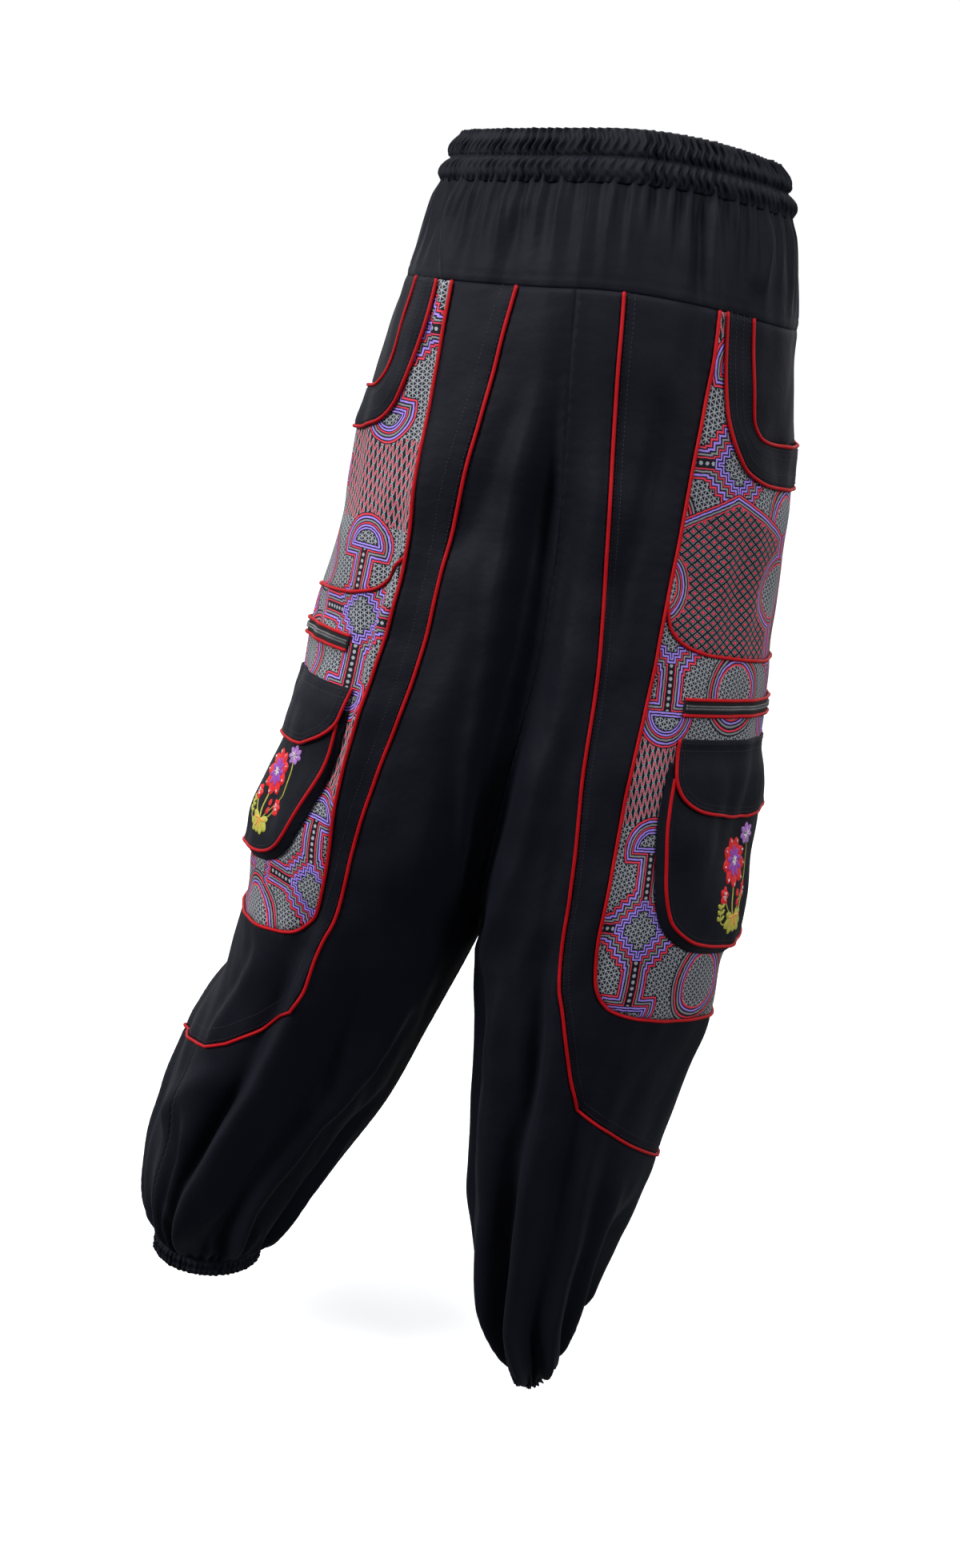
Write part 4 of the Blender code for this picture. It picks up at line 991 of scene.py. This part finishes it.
def zipTeeth(side):
    z = zipper
    middle = (z["top"] + z["bottom"]) / 2
    end = z["reach"] - z["teethShort"]
    line = np.array([(-end, middle), (end, middle)])
    onTape, onSlider = (lambda a, d: z["lift"]), (lambda a, d: z["pullLift"])
    teeth = [blocks(side, line + (0, space), onTape, z["tooth"], z["toothPitch"])
             for space in (-z["apart"], z["apart"])]
    joined(sideName[side] + "ZipTeeth", teeth, zipMetal, "zip_tape")
    start = z["reach"] - z["sliderShort"]        # the slider waits at the front end
    slider = [blocks(side, np.array([(place, middle), (place + 0.0001, middle)]), lift, size, 1.0)
              for place, lift, size in ((start, onTape, z["slider"]),
                                        (start - z["pullBack"], onSlider, z["pull"]))]
    joined(sideName[side] + "ZipSlider", slider, zipMetal, "zip_tape")


# The embroidery, in thousandths, a sprig of flowers. Rounds of petals: thread, middle, how many,
# how far from the middle, length, width, turn, height.
rounds = [("red", 0, -9, 9, 3.0, 14.5, 10.0, 0.15, 1.0), ("white", 0, -9, 9, 13.6, 2.4, 1.5, 0.15, 1.6),
          ("purple", 0, -9, 9, 1.5, 9.4, 6.0, 0.5, 1.5), ("white", 0, -9, 7, 0.2, 3.6, 1.4, 0.2, 2.0),
          ("lavender", -18, -27, 7, 1.2, 6.4, 4.4, 0.3, 0.8),
          ("white", -18, -27, 7, 0.2, 3.8, 0.9, 0.3, 1.3),
          ("red", -17, 12, 6, 0.6, 5.8, 5.0, 0.2, 0.9), ("white", -17, 12, 5, 0.6, 2.6, 1.0, 0.1, 1.4),
          ("red", 15, 11, 5, 0.6, 5.6, 5.0, 0.7, 0.9), ("white", 15, 11, 5, 0.6, 2.4, 1.0, 0.1, 1.4)]
# single petals and leaves: thread, start, heading in degrees, length, width, height
petals = [("green", (0, 26), heading, length, width, 0.8) for heading, length, width in (
    (162, 13, 7.0), (130, 11, 6.5), (95, 9, 6.0), (58, 11, 6.5), (22, 13, 7.0), (196, 11, 5.5),
    (-15, 11, 5.5))]
petals += [("orange", (0, 25), heading, 7.5, 2.2, 1.3) for heading in (178, 110, 70, 5)]
petals += [("green", (18 + 0.25 * k, 26 - 3.8 * k), heading, 5.4, 2.9, 0.7)
           for k in range(3) for heading in (-150, -35)]
petals += [("red", (-6, 9 + 6 * k), 80, 5.6, 4.0, 0.9) for k in range(2)]
stems = [([(0, 26), (2, 18), (1, 9), (0, 2)], 1.6),
         ([(-1, 25), (-10, 14), (-22, 0), (-21, -14), (-18, -24)], 0.9),
         ([(-2, 25), (-9, 21), (-15, 14)], 1.1),
         ([(2, 25), (9, 20), (14, 13)], 1.1),
         ([(3, 28), (13, 29), (18, 25), (19, 14)], 1.0)]
needle = {"petalSkew": 1.15, "petalRound": 0.65, "petalRows": 10, "petalColumns": 7,
          "stemEnds": 12, "stemStep": 0.8, "stemColumns": 5, "stemHeight": 0.55, "sunk": 0.00015}
# across, drop, scale, mirror
sprigPlace = {left: (-0.066, 0.521, 1.32, 1), right: (-0.009, 0.521, 1.30, -1)}


def quads(index):                                # faces between the rows and columns of a grid
    return np.stack([index[:-1, :-1], index[1:, :-1], index[1:, 1:], index[:-1, 1:]],
                    axis=-1).reshape(-1, 4)


def stitchedGrid(ahead, width, height, outline, columns):
    rows = len(ahead)
    along = np.linspace(0, 1, rows)[:, None]
    over = np.linspace(-1, 1, columns)
    half = width / 2 * outline(along) * over
    step = unit(np.gradient(ahead, axis=0))
    flat = ahead[:, None] + pairs(-step[:, 1], step[:, 0])[:, None] * half[..., None]
    rise = height * np.sqrt(np.clip(1 - over ** 2, 0, 1)) * (outline(along) > 0.05)
    uv = pairs(along * np.ptp(ahead, axis=0).max(), half)
    return (flat.reshape(-1, 2), rise.ravel(), quads(np.arange(rows * columns).reshape(rows, columns)),
            uv.reshape(-1, 2))


def sprigGrids():                                # thread, then a grid of stitches
    n = needle
    petal = lambda t: np.clip(np.sin(math.pi * t ** n["petalSkew"]), 0, 1) ** n["petalRound"]
    stem = lambda t: np.clip(np.minimum(t, 1 - t) * n["stemEnds"], 0, 1)
    found = []
    for thread, x, y, count, inner, length, width, turn, height in rounds:
        for k in range(count):
            angle = 2 * math.pi * k / count + turn
            start = (x + inner * math.cos(angle), y + inner * math.sin(angle))
            found.append((thread, start, angle, length, width, height))
    found += [(thread, start, math.radians(heading), *rest) for thread, start, heading, *rest in petals]
    for thread, start, angle, length, width, height in found:
        run = np.linspace(0, length, n["petalRows"])[:, None] * [math.cos(angle), math.sin(angle)]
        yield thread, stitchedGrid(run + start, width, height, petal, n["petalColumns"])
    for path, width in stems:
        run = resampled(path, n["stemStep"], True)
        yield "green", stitchedGrid(run, width, n["stemHeight"], stem, n["stemColumns"])


def sprig(side, base):
    placeAcross, placeDrop, scale, mirror = sprigPlace[side]
    parts = {}
    for thread, (flat, rise, faces, uv) in sprigGrids():
        across = placeAcross + mirror * scale * flat[:, 0] / 1000
        drop = placeDrop + scale * flat[:, 1] / 1000
        edge, _ = nearest(base, across, drop)
        lift = pocketLift(across, drop, edge) + rise / 1000 - needle["sunk"]
        points, normals = onCloth(side, across, drop, lift)
        first = points[faces[len(faces) // 2]]
        if np.cross(first[1] - first[0], first[2] - first[0]) @ normals[0] < 0:
            faces = faces[:, ::-1]
        parts.setdefault(thread, []).append((points, faces, uv / 1000))
    return [joined(f"{sideName[side]}Sprig{thread.capitalize()}", found, threads[thread])
            for thread, found in parts.items()]


def sewnOn(side):
    laidPiece(side, "HipBand", {"outer": closedTop(outlineOf("hipOuter", side)),
                                "inner": closedTop(outlineOf("hipInner", side))}, bandLift)
    base = closedTop(grown(outlineOf("cargo", side), pocket["gusset"]))
    laidPiece(side, "CargoPocket", {"base": base}, pocketLift, step=pocket["step"],
              onIt=sprig(side, base))
    laidPiece(side, "CargoFlap", {"flap": closedTop(outlineOf("flap", side))}, flapLift,
              step=flap["step"], thickness=flap["thickness"])
    end, top, bottom = zipper["reach"], zipper["top"], zipper["bottom"]
    strip = resampled([(-end, top), (end, top), (end, bottom), (-end, bottom), (-end, top)],
                      zipper["step"], False)[:-1]
    laidPiece(side, "Zip", {"strip": strip}, lambda a, d, e: zipper["tapeLift"], zipTape,
              zipper["step"], slot="zip_tape")
    zipTeeth(side)


piping = {"radius": 0.00138, "sides": 10, "step": 0.0030, "underFlap": 0.010,
          "onPanel": 0.55, "onBand": 0.5, "underEdge": 0.0004, "onPocket": 0.0002, "endBulge": 0.5}


def tube(name, centre, normals):
    radius, sides, count = piping["radius"], piping["sides"], len(centre)
    ahead = unit(np.gradient(centre, axis=0))
    aside = unit(np.cross(normals, ahead))
    up = np.cross(ahead, aside)
    turns = 2 * math.pi * np.arange(sides)[:, None] / sides
    rings = centre + radius * (np.cos(turns)[..., None] * aside + np.sin(turns)[..., None] * up)
    bulge = ahead[[0, -1]] * radius * piping["endBulge"]
    ends = np.array([centre[0] - bulge[0], centre[-1] + bulge[1]])
    length = lengthsAlong(centre)
    uv = np.concatenate([pairs(turns * radius, length).reshape(-1, 2), [[0, 0], [0, length[-1]]]])
    index = np.arange(sides * count).reshape(sides, count)
    index = np.vstack([index, index[:1]])
    first = sides * count
    faces = quads(index).tolist()
    for low, high in zip(index[:-1].tolist(), index[1:].tolist()):
        faces.append([first, high[0], low[0]])
        faces.append([first + 1, low[-1], high[-1]])
    made = makePiece(name, np.concatenate([rings.reshape(-1, 3), ends]), faces, redCord, uv,
                     slot="red_piping")
    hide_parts(nodeOf(name))


def cords(side):
    radius, end = piping["radius"], zipper["reach"]
    onPanel = lambda a, d: radius * piping["onPanel"]
    onBand = lambda a, d: hipBand["base"] + radius * piping["onBand"]
    zipLines = {name: pairs(np.arange(-end, end, piping["step"]), zipper[place])
                for name, place in (("zipUpper", "top"), ("zipLower", "bottom"))}
    lifts = {"side": onPanel, "print": onPanel, "upper": onPanel, "hipOuter": onBand,
             "hipInner": onBand, "zipUpper": onBand, "zipLower": onBand,
             "flap": lambda a, d: flapLift(a, d, 0.0) - piping["underEdge"],
             "cargo": lambda a, d: pocketRise(d) + piping["onPocket"]}
    for name, lift in lifts.items():
        path = zipLines[name] if name in zipLines else outlineOf(name, side)
        if name == "cargo":
            path = trimmed(path, piping["underFlap"])
        centre, normals = onCloth(side, *path.T, lift(*path.T))
        tube(sideName[side] + "Piping" + name[0].upper() + name[1:], centre, normals)


yokeCloth = {"step": 0.0016, "across": 0.20, "rows": 44, "width": 0.46, "tuckRise": 0.0075,
             "tuckWidth": 0.0012, "tuckDepth": 0.0003, "uvApart": 0.5}


def yoke(name, end):                             # from the left side line to the right one
    halfCount = round(yokeCloth["across"] / yokeCloth["step"])
    shares = np.linspace(0, 1, halfCount + 1)
    drops = np.linspace(0.0, yokeDrop, yokeCloth["rows"])[:, None]
    seam = np.exp(-((yokeDrop - drops) / pucker["dipWidth"]) ** 2)
    tuck = np.exp(-((yokeDrop - yokeCloth["tuckRise"] - drops) / yokeCloth["tuckWidth"]) ** 2)
    points, uv = [], []
    for side, run in ((left, shares), (right, shares[-2::-1])):
        across = end * run * sectionAt(side, drops).girth
        dip = -(pucker["dip"] * seam + yokeCloth["tuckDepth"] * tuck)
        points.append(onCloth(side, across, np.broadcast_to(drops, across.shape), dip)[0])
        uv.append(pairs(across + side * yokeCloth["uvApart"], drops))
    points, uv = np.concatenate(points, axis=1), np.concatenate(uv, axis=1)
    faces = quads(np.arange(points[..., 0].size).reshape(points.shape[:2]))
    piece = makePiece(name, points.reshape(-1, 3), faces[:, ::-end], black, uv.reshape(-1, 2))
    thicken(piece)
    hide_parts(nodeOf(name))


def plainRing(side, drop, shares):
    row = sectionAt(side, np.full(len(shares), drop))
    wrap = np.radians(row.wrap)
    halfWidth = np.abs(row.outX - row.inX) / (1 - np.cos(wrap))
    x = row.outX - side * halfWidth * (1 - np.cos(wrap * shares))
    y = row.midY + row.depth * np.sin(wrap * shares)
    z = rowHeight(row, drop, (x - row.inX) / (row.outX - row.inX)) + row.pitch * (y - row.midY)
    return np.stack([x, y, z], axis=1)


def ringFrame(ring):                             # outwards all round, and the ring's axis
    centred = ring - ring.mean(axis=0)
    axis = np.linalg.svd(centred, full_matrices=False)[2][2]
    axis = axis * np.sign(axis[2])
    facing = unit(np.cross(np.roll(ring, -1, axis=0) - np.roll(ring, 1, axis=0), axis))
    return facing * np.sign((centred * facing).sum()), axis


# channels of a shirred band, from its seam, in tenths of a millimetre: rise, how far out, height
# of the gathers
waist = {"waves": 122, "columns": 1100, "rows": 34, "slant": 1.1, "taper": 0.0165, "levels": [
    (-72, 20, 3), (-52, 26, 8), (-12, 31, 14), (40, 30, 14), (78, 22, 11), (102, 6, 6), (110, 4, 5),
    (124, 19, 12), (162, 36, 19), (214, 42, 20), (264, 38, 21), (306, 27, 28)]}
cuffBand = {"waves": 58, "columns": 560, "rows": 24, "slant": 0.5, "taper": 0.0, "levels": [
    (-60, -34, 0), (0, 2, 8), (32, 36, 14), (68, 30, 10), (80, 26, 8), (108, 36, 15), (140, 24, 9),
    (150, 12, 6)]}
shirr = {"cutShare": 1.5, "wander": (3, 5, 8, 13, 21), "wanderSize": (0.2, 0.9),
         "lively": (7, 19, 33), "livelyShare": 0.5, "sharp": 0.75, "second": 0.3,
         "secondWaves": 0.47, "secondTurn": 300, "slantTurn": 500, "taperPower": 1.4}


def shirredBand(name, ring, away, design, node, seed):
    s = shirr
    facing, axis = ringFrame(ring)
    columns = len(ring)
    levels = np.array(design["levels"]) / 10000
    rises = np.linspace(levels[0, 0], levels[-1, 0], design["rows"])
    out, height = (smoothCurve(levels[:, 0], levels[:, k], rises) for k in (1, 2))
    around = np.arange(columns) / columns * 2 * math.pi
    chance = np.random.default_rng(seed)
    wander = sum(chance.uniform(*s["wanderSize"]) * np.sin(k * around + chance.uniform(0, 6))
                 for k in s["wander"])
    lively = sum(np.sin(k * around + chance.uniform(0, 6)) for k in s["lively"])
    lively = 1 + s["livelyShare"] * lively / 2
    points, uv = [], []
    length = lengthsAlong(ring)[-1]
    for rise, o, h in zip(rises, out, height):
        slant = design["slant"] * math.sin(rise * s["slantTurn"])
        phase = design["waves"] * around + wander + slant
        wave = np.sin(phase)
        wave = np.sign(wave) * np.abs(wave) ** s["sharp"]
        wave += s["second"] * np.sin(s["secondWaves"] * phase + rise * s["secondTurn"])
        taper = design["taper"] * max(rise / rises[-1], 0) ** s["taperPower"]
        points.append(ring + facing * (o + h * lively * wave - taper)[:, None] + axis * away * rise)
        uv.append(pairs(around / (2 * math.pi) * length, rise))
    points, uv = np.concatenate(points), np.concatenate(uv)
    index = np.arange(len(points)).reshape(-1, columns).T
    faces = quads(np.vstack([index, index[:1]]))
    first = points[faces[0]]
    if np.cross(first[1] - first[0], first[2] - first[0]) @ facing[0] < 0:
        faces = faces[:, ::-1]
    piece = makePiece(name, points, faces, black, uv)
    thicken(piece)
    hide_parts(node)


def shirredBands():
    shares = np.linspace(-1, 1, waist["columns"] // 2 + 1)[:-1]
    ring = np.concatenate([plainRing(right, 0.0, shares), plainRing(left, 0.0, -shares)])
    shirredBand("elasticWaist", ring, 1, waist, "waistband", 5)
    shares = np.linspace(-1, 1, cuffBand["columns"] + 1)[:-1]
    for side in (left, right):
        name = sideName[side] + "Cuff"
        shirredBand(name, plainRing(side, legEnd, shares), -1, cuffBand, nodeOf(name), 9 + side)


for legSide in (left, right):
    legPanels(legSide)
    sewnOn(legSide)
    cords(legSide)
    topstitching(legSide)
yoke("yokeBack", -1)
yoke("yokeFront", 1)
shirredBands()
print("garment made")

roomLight = {"floorSize": 120, "floorHeight": -1.036, "floorGlow": 0.45, "domeRadius": 56,
             "before": (0.37, 0.39, 0.44, 1), "behind": (1.0, 1.0, 1.0, 1), "turn": (1.1, 0.45),
             "blend": 0.1, "under": 0.16, "rise": 4.0, "strength": 1.06, "boxes": [
                 ("leftBox", (-2.3, -1.9, 1.5), (0, 0, -0.3), (1.1, 1.4), 104),
                 ("rightBox", (2.4, -2.0, 1.1), (0, 0, -0.3), (0.9, 1.4), 52),
                 ("topBox", (-0.2, -0.4, 2.6), (0, 0, -0.2), (1.6, 1.6), 62)]}


def softBox(name, place, target, size, power):
    light = bpy.data.lights.new(name, "AREA")
    light.shape = "RECTANGLE"
    light.size, light.size_y = size
    light.energy = power
    made = placed(name, light)
    made.location = place
    made.rotation_euler = (Vector(target) - Vector(place)).to_track_quat("-Z", "Y").to_euler()


def stagePiece(name, colour, glow):              # pale, seen by the camera alone
    made = bpy.context.active_object
    made.name = name
    light = {"Emission Color": (1.0, 1.0, 1.0, 1), "Emission Strength": glow}
    made.data.materials.append(plainMaterial(name, colour, 0.55, 0.2, light))
    made.visible_diffuse = made.visible_glossy = made.visible_shadow = False


def studio():
    bpy.ops.object.select_all(action="DESELECT")
    r = roomLight
    bpy.ops.mesh.primitive_plane_add(size=r["floorSize"], location=(0, 0, r["floorHeight"]))
    stagePiece("studioFloor", (0.90, 0.90, 0.90, 1), r["floorGlow"])
    bpy.ops.mesh.primitive_uv_sphere_add(segments=48, ring_count=24, radius=r["domeRadius"])
    stagePiece("studioBackdrop", (0.01, 0.01, 0.01, 1), 1.0)
    world = bpy.data.worlds.new("paleRoom")
    bpy.context.scene.world = world
    world.use_nodes = True
    tree = world.node_tree
    toward = newNode(tree, "TexCoord", {})[0]
    _, y, z = newNode(tree, "SeparateXYZ", {0: toward})
    gain, start = r["turn"]
    behind = sums("SMOOTH_MIN", most(y * gain + start, 0.0), 1.0, r["blend"])
    above = most(z * r["rise"] + 1.0, r["under"])
    room = tree.nodes["Background"]
    give(room.inputs[0], mix(behind, r["before"], r["behind"]))
    give(room.inputs[1], least(above, 1.0) * r["strength"])
    for lamp in r["boxes"]:
        softBox(*lamp)
    bpy.context.scene.view_settings.view_transform = "Standard"


cameraSet = {"place": (0.2815, -1.3946, -0.080), "yaw": 15.0, "pitch": 15.1, "roll": 0.030,
             "lens": 41.25, "sensor": 36.0}


def camera():
    yaw, pitch = math.radians(cameraSet["yaw"]), math.radians(cameraSet["pitch"])
    forward = Vector((-math.sin(yaw) * math.cos(pitch), math.cos(yaw) * math.cos(pitch),
                      -math.sin(pitch)))
    across = Vector((math.cos(yaw), math.sin(yaw), 0))
    up = across.cross(forward)
    turn = Matrix((across, up, -forward)).transposed() @ Matrix.Rotation(cameraSet["roll"], 3, "Z")
    data = bpy.data.cameras.new("camera")
    data.lens = cameraSet["lens"]
    data.sensor_width = cameraSet["sensor"]
    made = placed("camera", data)
    made.matrix_world = Matrix.Translation(cameraSet["place"]) @ turn.to_4x4()
    bpy.context.scene.camera = made


studio()
camera()
